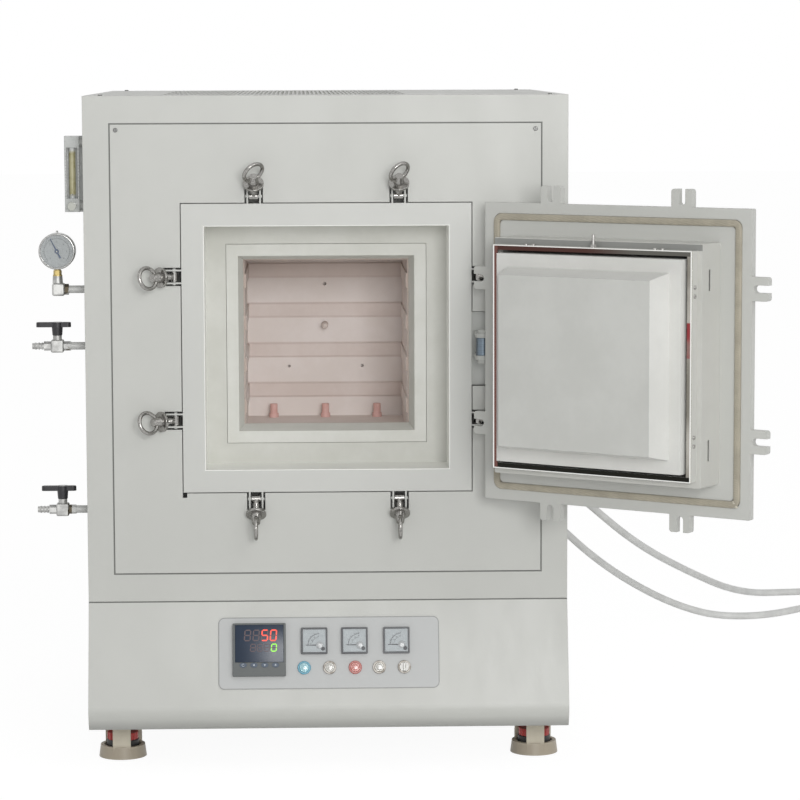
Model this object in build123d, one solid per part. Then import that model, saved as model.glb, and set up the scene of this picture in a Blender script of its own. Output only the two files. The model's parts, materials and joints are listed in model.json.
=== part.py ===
from build123d import *
import os
from math import atan2, cos, degrees, pi, radians, sin, tan

# Atmosphere box furnace on levelling casters, door open. Sizes are in millimetres.
# Cabinet frame while building: X to the right, Y to the back with the front face at 0,
# Z up from the floor. The finished part is moved so that its box is centred on X and Y.

# Cabinet
cabinet_width = 870.0
cabinet_depth = 940.0
upper_height = 915.0
base_height = 228.0
foot_height = 78.0
sheet = 2.0
seam_gap = 1.5
seam_depth = 1.2
base_bulge = 55.0
base_crease_height = 31.0
base_toe = 38.0
crease_radius = 34.0
toe_radius = 10.0
deck_hole_width = 260.0
deck_hole_depth = 120.0

# Front panel
panel_side_margin = 48.0
panel_top_margin = 50.0
panel_bottom_margin = 52.0
panel_gap = 1.0
ledge_width = 15.0
ledge_lap = 5.0
cutout_gap = 1.5
slot_width = 33.0
slot_reach = 31.0
cutout_overlap = 5.0
hinge_cutout_width = 49.5
hinge_cutout_top = 65.0
hinge_cutout_bottom = 70.0
notch_size = 8.0
panel_screw_inset = 10.0
screw_head_radius = 4.0
screw_head_height = 2.0
screw_slot_width = 1.0
screw_shank_radius = 2.0
screw_shank_length = 6.0
screw_hole_radius = 2.3

# Furnace vessel
vessel_centre_height = 461.0
flange_size = 522.0
flange_thickness = 14.0
throat_size = 440.0
throat_depth = 95.0
vessel_wall = 4.0
vessel_size = 660.0
vessel_depth = 553.0
vessel_front_wall = 4.0
leg_size = 40.0
leg_inset = 70.0

# Insulation and chamber
collar_size = 365.0
collar_mouth = 322.0
collar_inner = 304.0
collar_depth = 47.0
joint_gap = 0.6
chamber_width = 300.0
chamber_above = 150.0
chamber_below = 172.0
chamber_depth = 300.0
lining_wall = 50.0
band_height = 26.0
board_height = 51.5
band_proud = 3.0
top_band_height = 99.0
band_count = 4
wall_hole_radius = 3.0
wall_hole_depth = 20.0
element_radius = 7.0
element_clearance = 0.4
element_heights = (70.0, -8.0, -86.0)
terminal_reach = 60.0
terminal_length = 30.0
terminal_radius = 11.0
nozzle_spacing = 100.0
nozzle_height = 26.0
nozzle_radius = 7.0
nozzle_foot_radius = 9.0
nozzle_foot_height = 8.0
nozzle_wall_distance = 25.0
probe_radius = 6.0
probe_reach = 35.0
probe_height = 6.0
wall_holes_back = [(0.0, 85.0), (-70.0, -75.0), (72.0, -75.0)]
element_front_cover = 20.0
terminal_nut_height = 8.0
bore_reach = 400.0

# Swing bolts
bolt_spacing = 130.0
pivot_radius = 274.0
pivot_depth = 4.0
ear_gap = 20.0
ear_thickness = 3.0
ear_reach = 30.0
pin_radius = 3.0
pin_overhang = 2.0
eye_clearance = 0.2
eye_outer_radius = 7.0
eye_width = 16.0
shank_radius = 5.0
washer_start = 30.0
washer_thickness = 5.0
washer_radius = 18.5
hub_length = 17.0
hub_base_radius = 10.0
hub_top_radius = 7.0
ring_radius = 19.0
ring_wire_radius = 3.5
ring_centre = 62.0

# Door, drawn shut but not yet pressed home, then swung open about its hinge
door_size = 530.0
door_thickness = 13.0
door_edge_radius = 2.5
door_seat_travel = 31.2
gasket_clearance = 0.3
gasket_proud = 4.5
gasket_size = 492.0
gasket_width = 12.0
gasket_groove_depth = 4.0
gasket_corner_radius = 14.0
gasket_fit = 0.2
lug_width = 41.0
lug_length = 31.0
lug_slot_width = 13.0
lug_slot_bottom = 268.0
lug_root = 5.0
hinge_lug_length = 24.0
lug_corner = 5.0
open_edge_x = 281.6
open_edge_y = -67.8
door_open_angle = 144.6
tray_width = 410.0
tray_tall = 415.0
tray_height = 65.0
tray_wall = 2.0
tray_corner = 3.0
tray_slot_length = 36.0
tray_slot_width = 6.0
tray_slot_depth = 38.0
trim_size = 392.0
trim_wall = 2.0
trim_height = 85.0
trim_lip = 9.0
plate_size = 364.0
plate_height = 96.0
plug_base = 318.0
plug_front = 297.0
plug_height = 145.0
door_screw_radius = 3.5
door_screw_height = 2.5
trim_screw_level = 75.0
trim_screw_spread = 127.0
trim_screw_pitch = 15.0
tray_screw_spread = 145.0
adjust_bolt_radius = 3.0
adjust_bolt_length = 22.0
adjust_nut_radius = 6.0
adjust_nut_height = 5.0

# Hinge bracket, arm and spindle
hinge_pin_radius = 6.0
hinge_fit = 0.1
hinge_ear_radius = 12.5
hinge_ear_thickness = 8.0
knuckle_gap = 0.5
pin_head_radius = 9.0
pin_head_height = 6.0
hinge_plate_front = 8.0
hinge_plate_width = 50.0
hinge_fit_gap = 1.0
arm_thickness = 22.0
arm_height = 60.0
knuckle_height = 31.0
hinge_centre_height = 6.0
arm_gap = 0.5
arm_end_margin = 12.0
boss_radius = 42.0
spindle_size = 30.0
spindle_fit = 0.2
spindle_cap_thickness = 8.0
spindle_cap_radius = 30.0

# Control plate on the sloping base front
plate_width = 400.0
plate_drop = 30.0
control_plate_height = 130.0
control_plate_thickness = 1.5
control_plate_corner = 11.0
instrument_hole_depth = 40.0
instrument_corner = 2.0
controller_size = 96.0
controller_bezel = 9.0
controller_body = 90.0
controller_body_depth = 78.0
controller_u = -126.0
controller_drop = 89.0
display_width = 88.0
display_height = 68.0
display_shift = 11.0
display_depth = 1.0
key_count = 4
key_width = 13.0
key_height = 9.0
key_rise = 0.8
key_drop = 28.0
key_pitch = 19.5
meter_size = 48.0
meter_bezel = 6.0
meter_body = 44.0
meter_body_depth = 42.0
meter_positions = (-26.5, 46.5, 122.5)
meter_drop = 73.5
meter_frame = 3.0
meter_glass_depth = 1.5
button_drop = 122.0
button_positions = (-45.0, 1.0, 47.5, 91.0)
selector_position = 136.5
bezel_radius = 12.0
bezel_height = 4.0
button_radius = 8.5
button_rise = 7.0
button_fit = 0.3
button_stem = 14.0
barrel_radius = 10.5
barrel_depth = 34.0
barrel_wall = 1.5
selector_grip_length = 16.0
selector_height = 6.0
selector_grip_height = 9.0
selector_grip_width = 5.0
cut_clearance = 0.5

# Gas fittings on the left side
fittings_y = 60.0
pipe_radius = 7.0
pipe_hole_clearance = 0.5
pipe_inside = 22.0
lock_nut_radius = 13.0
lock_nut_length = 8.0
neck_radius = 8.0
neck_gap = 0.5
gauge_x = -487.0
gauge_height = 635.0
gauge_radius = 33.0
gauge_depth = 30.0
gauge_rim = 3.0
gauge_glass_recess = 5.0
gauge_drop = 69.5
gauge_elbow_x = -485.5
gauge_stem_radius = 6.0
reducer_radius = 9.5
reducer_top_radius = 8.5
reducer_length = 15.0
gauge_nut_radius = 7.5
gauge_nut_length = 8.0
elbow_nut_radius = 10.0
elbow_nut_length = 7.0
vent_plug_radius = 2.0
vent_plug_height = 4.0
elbow_size = 23.0
needle_length = 40.0
needle_width = 3.0
needle_thickness = 1.0
needle_hub_radius = 4.0
needle_angle = 27.0
needle_tail = 14.0
needle_tip_width = 1.2
needle_gap = 1.0
needle_pin_radius = 1.5
needle_pin_fit = 0.1
valve_heights = (462.5, 163.0)
valve_offsets = (-489.0, -483.5)
valve_body = 23.0
valve_nut_length = 13.0
valve_nut_radius = 8.5
barb_length = 21.0
barb_radius = 5.5
barb_ring_count = 3
barb_ring_pitch = 6.0
barb_ring_proud = 1.2
barb_ring_length = 4.0
barb_wall = 2.0
handle_length = 63.0
handle_shift = -6.5
handle_height = 9.0
handle_width = 13.0
handle_rise = 34.5
handle_skirt = 14.5
handle_skirt_radius = 9.0
handle_hub_radius = 10.0
stem_radius = 5.0
stem_fit = 0.1
flow_x = -457.5
flow_width = 27.0
flow_port_inset = 12.0
flow_collar_radius = 9.0
bracket_front = 10.0
bracket_wall_gap = 0.5
bracket_fit = 0.2
flow_height = 137.0
flow_bottom = 706.0
flow_depth = 28.0
flow_tube_radius = 5.5
flow_tube_bottom = 24.5
flow_tube_length = 91.5
flow_window_width = 20.0
flow_window_depth = 16.0
flow_knob_radius = 8.0
flow_knob_length = 17.0
flow_knob_drop = 11.0
flow_spindle_radius = 3.0
flow_spindle_depth = 12.0
flow_knob_gap = 0.3
flow_knob_fit = 0.2
flute_count = 12
flute_radius = 0.9

# Hose ports on the back and the free hoses
hose_diameter = 16.0
port_x = 395.0
port_heights = (446.0, 366.0)
port_nut_radius = 14.0
port_nut_length = 14.0
port_barb_length = 30.0
port_barb_radius = 7.0
port_pipe_length = 55.0
connector_collar_radius = 10.5
connector_collar_length = 20.0
connector_nut_radius = 12.5
connector_nut_length = 14.0
connector_nipple_radius = 8.0
connector_nipple_length = 14.0
connector_wall = 2.0

# Hose routes, cabinet frame, chosen by hand, from the barb to the connector
upper_route = [
    (395, 984, 446), (395, 1036, 446), (408, 1086, 436), (440, 1128, 413), (490, 1146, 382),
    (553, 1140, 340), (612, 1150, 288), (670, 1195, 237), (736, 1275, 186), (806, 1372, 139),
    (872, 1488, 95), (930, 1606, 56), (985, 1700, 27), (1042, 1757, 10), (1100, 1776, 8),
    (1156, 1782, 8), (1210, 1800, 9.5), (1258, 1806, 13),
]
lower_route = [
    (395, 984, 366), (395, 1034, 366), (406, 1084, 356), (430, 1131, 332), (470, 1166, 297),
    (522, 1184, 259), (574, 1222, 207), (640, 1292, 149), (715, 1366, 94), (796, 1428, 46),
    (876, 1459, 15), (938, 1459, 8), (997, 1462, 8), (1057, 1497, 8), (1112, 1551, 8),
    (1170, 1590, 9.5), (1228, 1604, 13),
]

# Casters
caster_inset_x = 53.0
caster_inset_y = 100.0
caster_plate_size = 80.0
caster_plate_thickness = 8.0
caster_stem_radius = 10.0
caster_stem_fit = 0.3
caster_head_size = 69.0
caster_head_height = 12.0
caster_head_gap = 0.4
caster_head_corner = 8.0
skirt_radius = 44.0
skirt_inner_radius = 34.0
skirt_bottom = 2.0
skirt_height = 22.0
skirt_flare = 3.0
column_width = 33.0
column_front = 5.0
column_back = 1.0
rear_column_size = 11.0
rear_column_x = 28.0
rear_column_y = 31.0
wheel_radius = 25.0
wheel_width = 20.0
wheel_offset = 61.0
wheel_lift = 2.5
wheel_bore_fit = 0.1
axle_radius = 4.0
cheek_thickness = 5.0
cheek_gap = 1.0
cheek_height = 18.0
pad_radius = 30.0
pad_height = 34.0
thumb_ring_radius = 28.5
thumb_ring_height = 13.0
thumb_notch_count = 16
thumb_notch_radius = 2.0
pad_screw_radius = 7.0
pad_screw_length = 22.0

# Covers on the top and the back
cover_gap = 1.0
top_cover_margin = 20.0
top_slot_columns = 56
top_slot_rows = 4
top_slot_pitch = 8.0
top_slot_length = 150.0
top_slot_width = 4.5
top_slot_row_gap = 20.0
top_field_x = -75.0
rear_cover_side_margin = 55.0
rear_cover_end_margin = 55.0
rear_slot_columns = 6
rear_slot_rows = 12
rear_slot_length = 70.0
rear_slot_width = 6.0
rear_slot_pitch_x = 100.0
rear_slot_pitch_z = 18.0

# Power unit in the base
transformer_width = 240.0
transformer_depth = 200.0
transformer_core_height = 130.0
coil_radius = 48.0
module_width = 150.0
module_depth = 120.0
module_height = 95.0
fin_count = 8
fin_height = 40.0
fin_thickness = 4.0
core_foot = 25.0
coil_gap = 4.0
transformer_x = -170.0
module_x = 180.0
power_y = 620.0

# Worked-out places
half_width = cabinet_width / 2
base_bottom = foot_height
seam_z = base_bottom + base_height
top_z = seam_z + upper_height
vessel_z = seam_z + vessel_centre_height
throat_end = throat_depth
vessel_end = throat_end - vessel_front_wall + vessel_depth
collar_end = throat_end + collar_depth
chamber_end = collar_end + chamber_depth
lining_end = chamber_end + lining_wall
caster_stem_length = caster_plate_thickness + caster_head_gap + caster_head_height
wall_x = -half_width
door_face_y = -gasket_clearance - gasket_proud - door_seat_travel
slope_angle = degrees(atan2(base_bulge, base_height - base_crease_height))
control_plane = Plane(
    origin=(0, 0, seam_z),
    x_dir=(1, 0, 0),
    z_dir=(0, -cos(radians(slope_angle)), sin(radians(slope_angle))),
)

# The hinge line is the one point that carries the shut door's edge to the edge of the open door
turn = radians(door_open_angle)
edge_x = door_size / 2
gap_x = open_edge_x - edge_x * cos(turn) + door_face_y * sin(turn)
gap_y = open_edge_y - edge_x * sin(turn) - door_face_y * cos(turn)
hinge_x = (gap_x - gap_y * sin(turn) / (1 - cos(turn))) / 2
hinge_y = (gap_y + gap_x * sin(turn) / (1 - cos(turn))) / 2
hinge_axis = Axis((hinge_x, hinge_y, 0), (0, 0, 1))

nodes = {}


def keep(name, *shapes):
    """Files one or more separate solids under a node's name."""
    solids = [solid for shape in shapes for solid in shape.solids()]
    nodes[name] = solids


def block(x0, x1, y0, y1, z0, z1):
    """A box between two corners."""
    size = Box(x1 - x0, y1 - y0, z1 - z0)
    return Pos((x0 + x1) / 2, (y0 + y1) / 2, (z0 + z1) / 2) * size


def square_block(size, y0, y1, centre_z=0.0):
    """A box that is square seen from the front, from y0 to y1."""
    return block(-size / 2, size / 2, y0, y1, centre_z - size / 2, centre_z + size / 2)


def rod(start, direction, radius, length):
    """A cylinder that starts at a point and runs along a direction."""
    plane = Plane(origin=start, z_dir=direction)
    return plane.location * Cylinder(radius, length, align=(Align.CENTER, Align.CENTER, Align.MIN))


def cone(start, direction, radius, end_radius, length):
    """A cone that starts at a point and runs along a direction."""
    plane = Plane(origin=start, z_dir=direction)
    low = (Align.CENTER, Align.CENTER, Align.MIN)
    return plane.location * Cone(radius, end_radius, length, align=low)


def hexagon(start, direction, radius, length):
    """A hexagonal nut body across its corners' radius."""
    plane = Plane(origin=start, z_dir=direction)
    return plane.location * extrude(RegularPolygon(radius, 6), amount=length)


def at_vessel(shape):
    """Lifts a shape drawn about the vessel's axis to its height."""
    return Pos(0, 0, vessel_z) * shape


def around_vessel(shape, turns):
    """Turns a shape drawn above the vessel's axis to another side of it."""
    return at_vessel(shape.rotate(Axis.Y, -90.0 * turns))


def on_controls(shape, u, drop):
    """Puts a shape drawn on a flat plane onto the sloping base front."""
    return control_plane.location * Pos(u, -drop, 0) * shape


def window_frame(length, width, thickness, edge):
    """A flat ring of sheet, standing on a rectangle's outline and reaching inside it by edge."""
    outer = Box(length, width, thickness)
    return outer - Box(length - 2 * edge, width - 2 * edge, thickness * 2)


def rounded_bar(length, width, depth):
    """An upright flat bar with round ends, drawn along X and pushed along Z."""
    return extrude(SlotOverall(length, width), amount=depth)


# Openings of the cabinet that the flush panels fill
front_opening = (
    cabinet_width - 2 * panel_side_margin,
    upper_height - panel_top_margin - panel_bottom_margin,
)
front_centre_z = seam_z + panel_bottom_margin + front_opening[1] / 2
top_opening = (cabinet_width - 2 * top_cover_margin, cabinet_depth - 2 * top_cover_margin)
rear_opening = (cabinet_width - 2 * rear_cover_side_margin, upper_height - 2 * rear_cover_end_margin)
rear_centre_z = seam_z + upper_height / 2
screw_spots_front = [
    (side * (front_opening[0] / 2 - panel_gap - panel_screw_inset), front_centre_z + front_opening[1] / 2
     - panel_gap - panel_screw_inset)
    for side in (-1, 1)
]
screw_spots_top = [
    (x * (top_opening[0] / 2 - cover_gap - panel_screw_inset),
     cabinet_depth / 2 + y * (top_opening[1] / 2 - cover_gap - panel_screw_inset))
    for x in (-1, 1)
    for y in (-1, 1)
]
screw_spots_rear = [
    (x * (rear_opening[0] / 2 - cover_gap - panel_screw_inset),
     rear_centre_z + z * (rear_opening[1] / 2 - cover_gap - panel_screw_inset))
    for x in (-1, 1)
    for z in (-1, 1)
]


def screw_holes():
    """The cutters of every case screw's hole."""
    length = 4 * sheet
    holes = [rod((x, -sheet, z), (0, 1, 0), screw_hole_radius, length) for x, z in screw_spots_front]
    holes += [
        rod((x, y, top_z + sheet), (0, 0, -1), screw_hole_radius, length) for x, y in screw_spots_top
    ]
    holes += [
        rod((x, cabinet_depth + sheet, z), (0, -1, 0), screw_hole_radius, length)
        for x, z in screw_spots_rear
    ]
    return holes


def upper_shell():
    """The folded sheet case, open at the front, the top and the back for its flush panels."""
    case = block(-half_width, half_width, 0, cabinet_depth, seam_z, top_z)
    case -= block(
        -half_width + sheet, half_width - sheet, sheet, cabinet_depth - sheet, seam_z + sheet, top_z - sheet
    )
    fx, fz = front_opening
    case -= Pos(0, 0, front_centre_z) * Box(fx, 4 * sheet, fz)
    tx, ty = top_opening
    case -= Pos(0, cabinet_depth / 2, top_z) * Box(tx, ty, 4 * sheet)
    rx, rz = rear_opening
    case -= Pos(0, cabinet_depth, rear_centre_z) * Box(rx, 4 * sheet, rz)
    grow = 2 * ledge_lap
    ledge = ledge_width + ledge_lap
    front_ledge = window_frame(fx + grow, fz + grow, sheet, ledge)
    case += Pos(0, 1.5 * sheet, front_centre_z) * front_ledge.rotate(Axis.X, 90)
    top_ledge = window_frame(tx + grow, ty + grow, sheet, ledge)
    case += Pos(0, cabinet_depth / 2, top_z - 1.5 * sheet) * top_ledge
    rear_ledge = window_frame(rx + grow, rz + grow, sheet, ledge)
    case += Pos(0, cabinet_depth - 1.5 * sheet, rear_centre_z) * rear_ledge.rotate(Axis.X, 90)
    ring = block(
        -half_width - 1, half_width + 1, -1, cabinet_depth + 1, seam_z - 1, seam_z + seam_gap
    )
    ring -= block(
        -half_width + seam_depth, half_width - seam_depth, seam_depth, cabinet_depth - seam_depth,
        seam_z - 2, seam_z + 2 * seam_gap,
    )
    case -= ring
    case -= Pos(0, cabinet_depth * 0.75, seam_z) * Box(deck_hole_width, deck_hole_depth, 4 * sheet)
    for z, radius in wall_holes:
        case -= rod((-half_width - sheet, fittings_y, z), (1, 0, 0), radius + pipe_hole_clearance, 3 * sheet)
    for height in port_heights:
        start = (port_x, cabinet_depth + sheet, height)
        case -= rod(start, (0, -1, 0), port_barb_radius + pipe_hole_clearance, 3 * sheet)
    for hole in screw_holes():
        case -= hole
    return case


wall_holes = [(seam_z + height, pipe_radius) for height in valve_heights]
wall_holes.append((seam_z + gauge_height - gauge_drop, pipe_radius))
flow_low = seam_z + flow_bottom
flow_port_heights = (flow_low + flow_port_inset, flow_low + flow_height - flow_port_inset)
wall_holes += [(height, gauge_stem_radius) for height in flow_port_heights]
keep("upper_shell", upper_shell())


def front_panel():
    """The flush front panel, cut out round the flange, the swing bolts and the hinge."""
    fx, fz = front_opening
    panel = Box(fx - 2 * panel_gap, sheet, fz - 2 * panel_gap)
    panel = Pos(0, sheet / 2, front_centre_z) * panel
    cut = flange_size / 2 + cutout_gap
    panel -= at_vessel(block(-cut, cut, -1, sheet + 1, -cut, cut))
    for turns in range(4):
        for offset in (-bolt_spacing, bolt_spacing):
            slot = block(
                offset - slot_width / 2, offset + slot_width / 2, -1, sheet + 1,
                cut - cutout_overlap, cut + slot_reach,
            )
            panel -= around_vessel(slot, turns)
    panel -= at_vessel(
        block(
            cut - cutout_overlap, cut + hinge_cutout_width, -1, sheet + 1,
            -hinge_cutout_bottom, hinge_cutout_top,
        )
    )
    corner = block(-cut, -cut + notch_size, -1, sheet + 1, -cut - notch_size, -cut + cutout_overlap)
    panel -= at_vessel(corner)
    for hole in screw_holes():
        panel -= hole
    return panel


keep("front_panel", front_panel())


def top_grille():
    """The flush top cover with its field of long slots."""
    tx, ty = top_opening
    cover = Box(tx - 2 * cover_gap, ty - 2 * cover_gap, sheet)
    outline = SlotOverall(top_slot_length, top_slot_width, rotation=90)
    slots = [
        Pos(
            top_field_x + (column - (top_slot_columns - 1) / 2) * top_slot_pitch,
            (row - (top_slot_rows - 1) / 2) * (top_slot_length + top_slot_row_gap),
            0,
        )
        * extrude(outline, amount=3 * sheet, both=True)
        for column in range(top_slot_columns)
        for row in range(top_slot_rows)
    ]
    cover = cover.cut(*slots)
    cover = Pos(0, cabinet_depth / 2, top_z - sheet / 2) * cover
    return cover.cut(*screw_holes())


keep("top_grille", top_grille())


def rear_cover():
    """The flush rear cover with its field of vent slots."""
    rx, rz = rear_opening
    cover = Box(rx - 2 * cover_gap, rz - 2 * cover_gap, sheet)
    field = SlotOverall(rear_slot_length, rear_slot_width)
    slots = [
        Pos((column - (rear_slot_columns - 1) / 2) * rear_slot_pitch_x,
            (row - (rear_slot_rows - 1) / 2) * rear_slot_pitch_z, 0)
        * extrude(field, amount=3 * sheet, both=True)
        for column in range(rear_slot_columns)
        for row in range(rear_slot_rows)
    ]
    cover = cover.cut(*slots)
    cover = Pos(0, cabinet_depth - sheet / 2, rear_centre_z) * cover.rotate(Axis.X, 90)
    return cover.cut(*screw_holes())


keep("rear_cover", rear_cover())


def case_screw(spot, direction):
    """A round-headed case screw standing on its panel."""
    plane = Plane(origin=spot, z_dir=direction)
    head = Cylinder(screw_head_radius, screw_head_height, align=(Align.CENTER, Align.CENTER, Align.MIN))
    head = fillet(head.edges().sort_by(Axis.Z)[-1], screw_head_height * 0.6)
    shank = Cylinder(screw_shank_radius, screw_shank_length, align=(Align.CENTER, Align.CENTER, Align.MAX))
    slot = Pos(0, 0, screw_head_height) * Box(2 * screw_head_radius, screw_slot_width, screw_head_height)
    return plane.location * (head + shank - slot)


screws = [case_screw((x, 0, z), (0, -1, 0)) for x, z in screw_spots_front]
screws += [case_screw((x, y, top_z), (0, 0, 1)) for x, y in screw_spots_top]
screws += [case_screw((x, cabinet_depth, z), (0, 1, 0)) for x, z in screw_spots_rear]
keep("case_screws", *screws)


# Base
def base_profile(inset):
    """The base's side outline, drawn on the YZ plane and set in by a wall."""
    corners = [
        (0, base_height),
        (-base_bulge, base_crease_height),
        (-base_toe, 0),
        (cabinet_depth, 0),
        (cabinet_depth, base_height),
    ]
    outline = Polyline(*corners, close=True)
    face = make_face(Plane.YZ * outline)
    crease = [v for v in face.vertices() if abs(v.Y + base_bulge) < 0.1]
    face = fillet(crease, crease_radius)
    toe = [v for v in face.vertices() if abs(v.Y + base_toe) < 0.1]
    face = fillet(toe, toe_radius)
    return offset(face, amount=-inset) if inset else face


caster_spots = [
    (side * (half_width - caster_inset_x), y)
    for side in (-1, 1)
    for y in (caster_inset_y, cabinet_depth - caster_inset_y)
]


def control_cutters():
    """The holes behind the control plate for the instruments and buttons."""
    deep = instrument_hole_depth
    controller_hole = controller_body + 2 * cut_clearance
    meter_hole = meter_body + 2 * cut_clearance
    cutters = [on_controls(Box(controller_hole, controller_hole, deep), controller_u, controller_drop)]
    for u in meter_positions:
        cutters.append(on_controls(Box(meter_hole, meter_hole, deep), u, meter_drop))
    for u in (*button_positions, selector_position):
        cutters.append(on_controls(Cylinder(barrel_radius + cut_clearance, deep), u, button_drop))
    return cutters


def base_shell():
    """The base box with its sloping front, its foot plates and the hollow caster stems."""
    solid = Pos(0, 0, base_bottom) * extrude(base_profile(0), amount=half_width, both=True)
    hollow = Pos(0, 0, base_bottom) * extrude(base_profile(sheet), amount=half_width - sheet, both=True)
    shell = solid - hollow
    rim = ledge_width
    shell -= block(
        -half_width + rim, half_width - rim, rim, cabinet_depth - rim, seam_z - 3 * sheet, seam_z + 1
    )
    low = (Align.CENTER, Align.CENTER, Align.MAX)
    for x, y in caster_spots:
        foot = Box(caster_plate_size, caster_plate_size, caster_plate_thickness, align=low)
        stem = Cylinder(caster_stem_radius, caster_stem_length, align=low)
        bore = Cylinder(pad_screw_radius + caster_stem_fit, caster_stem_length + 1, align=low)
        shell += Pos(x, y, base_bottom) * (foot + stem - bore)
    for cutter in control_cutters():
        shell -= cutter
    return shell


keep("base_shell", base_shell())


def control_plate():
    """The pale plate on the sloping front, with rounded corners."""
    outline = RectangleRounded(plate_width, control_plate_height, control_plate_corner)
    plate = extrude(outline, amount=control_plate_thickness)
    plate = on_controls(plate, 0, plate_drop + control_plate_height / 2)
    for cutter in control_cutters():
        plate -= cutter
    return plate


keep("control_plate", control_plate())


def framed_instrument(size, proud, body, depth, recess):
    """A square instrument whose front frame stands on the plate and whose body passes through."""
    front = Box(size, size, proud, align=(Align.CENTER, Align.CENTER, Align.MIN))
    front = fillet(front.edges().filter_by(Axis.Z), instrument_corner)
    front = Pos(0, 0, control_plate_thickness) * front
    high = (Align.CENTER, Align.CENTER, Align.MAX)
    rear = Box(body, body, depth + control_plate_thickness, align=high)
    width, height, shift, drop = recess
    window = Pos(0, shift, control_plate_thickness + proud) * Box(width, height, 2 * drop)
    return front + Pos(0, 0, control_plate_thickness) * rear - window


def controller_case():
    """The temperature controller with a sunk display and four low keys."""
    recess = (display_width, display_height, display_shift, display_depth)
    case = framed_instrument(
        controller_size, controller_bezel, controller_body, controller_body_depth, recess
    )
    level = control_plate_thickness + controller_bezel
    for index in range(key_count):
        across = (index - (key_count - 1) / 2) * key_pitch
        key = extrude(Ellipse(key_width / 2, key_height / 2), amount=key_rise)
        case += Pos(across, -key_drop, level) * key
    return on_controls(case, controller_u, controller_drop)


keep("controller_case", controller_case())

meter_window = meter_size - 2 * meter_frame
meter_recess = (meter_window, meter_window, 0.0, meter_glass_depth)
meter = framed_instrument(meter_size, meter_bezel, meter_body, meter_body_depth, meter_recess)
keep("panel_meters", *[on_controls(meter, u, meter_drop) for u in meter_positions])


def button_bezel():
    """A round collar on the plate with its barrel behind."""
    low = (Align.CENTER, Align.CENTER, Align.MIN)
    high = (Align.CENTER, Align.CENTER, Align.MAX)
    collar = Cylinder(bezel_radius, bezel_height, align=low)
    collar = fillet(collar.edges().sort_by(Axis.Z)[-1], 1.2)
    barrel = Cylinder(barrel_radius, barrel_depth, align=high)
    bore = Pos(0, 0, bezel_height + 1) * Cylinder(
        button_radius + button_fit, bezel_height + 1 + barrel_depth - barrel_wall, align=high
    )
    return Pos(0, 0, control_plate_thickness) * (collar + barrel - bore)


bezels = [on_controls(button_bezel(), u, button_drop) for u in (*button_positions, selector_position)]
keep("control_bezels", *bezels)


def push_button():
    """A button cap with a gently rounded top, guided in its barrel."""
    cap = Cylinder(button_radius, button_rise + button_stem, align=(Align.CENTER, Align.CENTER, Align.MIN))
    cap = fillet(cap.edges().sort_by(Axis.Z)[-1], 1.5)
    return Pos(0, 0, control_plate_thickness - button_stem) * cap


button_names = ("button_cyan", "button_start", "button_red", "button_run")
for name, u in zip(button_names, button_positions):
    keep(name, on_controls(push_button(), u, button_drop))


def selector_switch():
    """The rotary selector with a raised finger bar."""
    low = (Align.CENTER, Align.CENTER, Align.MIN)
    knob = Cylinder(button_radius, selector_height + button_stem, align=low)
    bar = Box(selector_grip_width, selector_grip_length, selector_grip_height, align=low)
    bar = Pos(0, 0, button_stem) * bar
    bar = fillet(bar.edges().group_by(Axis.Z)[-1], 1.0)
    return Pos(0, 0, control_plate_thickness - button_stem) * (knob + bar)


keep("selector_switch", on_controls(selector_switch(), selector_position, button_drop))


# Vessel, insulation and chamber
element_spots = [
    (side * (chamber_width / 2 + lining_wall / 2), height) for side in (-1, 1) for height in element_heights
]


def furnace_vessel():
    """The welded vessel: flange, throat, body with a closed back, and four legs on the case floor."""
    half = throat_size / 2
    vessel = square_block(flange_size, 0, flange_thickness)
    vessel += square_block(throat_size + 2 * vessel_wall, 0, throat_end)
    body_front = throat_end - vessel_front_wall
    vessel += square_block(vessel_size, body_front, vessel_end)
    vessel -= square_block(vessel_size - 2 * vessel_wall, throat_end, vessel_end - vessel_wall)
    vessel -= block(-half, half, -1, throat_end + 1, -half, half)
    for x, z in element_spots:
        bore = element_radius + element_clearance
        vessel -= rod((x, vessel_end - 2 * vessel_wall, z), (0, 1, 0), bore, 3 * vessel_wall)
    leg_top = -vessel_size / 2
    leg_foot = seam_z + sheet - vessel_z
    spread = vessel_size / 2 - leg_inset
    for x in (-spread, spread):
        for y in (body_front + leg_inset, vessel_end - leg_inset):
            vessel += block(
                x - leg_size / 2, x + leg_size / 2, y - leg_size / 2, y + leg_size / 2, leg_foot, leg_top
            )
    return at_vessel(vessel)


keep("furnace_vessel", furnace_vessel())


def lining_block(grow=0.0):
    """The outer block of the chamber lining."""
    side = chamber_width / 2 + lining_wall + grow
    low = -chamber_below - lining_wall - grow
    return block(-side, side, collar_end, lining_end, low, chamber_above + lining_wall + grow)


def insulation_boards():
    """The board packing between the vessel and the lining, with pockets for collar and lining."""
    inside = vessel_size - 2 * vessel_wall - 2 * joint_gap
    boards = square_block(inside, throat_end, vessel_end - vessel_wall)
    boards -= square_block(collar_size + 2 * joint_gap, throat_end - 1, collar_end)
    boards -= lining_block(joint_gap / 2)
    for x, z in element_spots:
        boards -= rod((x, collar_end, z), (0, 1, 0), element_radius + element_clearance, vessel_depth)
    probe_bore = probe_radius + element_clearance
    boards -= rod((0, lining_end - 1, probe_height), (0, 1, 0), probe_bore, vessel_depth)
    return at_vessel(boards)


keep("insulation_boards", insulation_boards())


def fibre_collar():
    """The moulded frame round the chamber mouth, whose inner faces close in towards the back."""
    mouth = Plane.XZ.offset(-throat_end) * Rectangle(collar_mouth, collar_mouth)
    inner = Plane.XZ.offset(-collar_end) * Rectangle(collar_inner, collar_inner)
    return at_vessel(square_block(collar_size, throat_end, collar_end) - loft([mouth, inner]))


keep("fibre_collar", fibre_collar())


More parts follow.
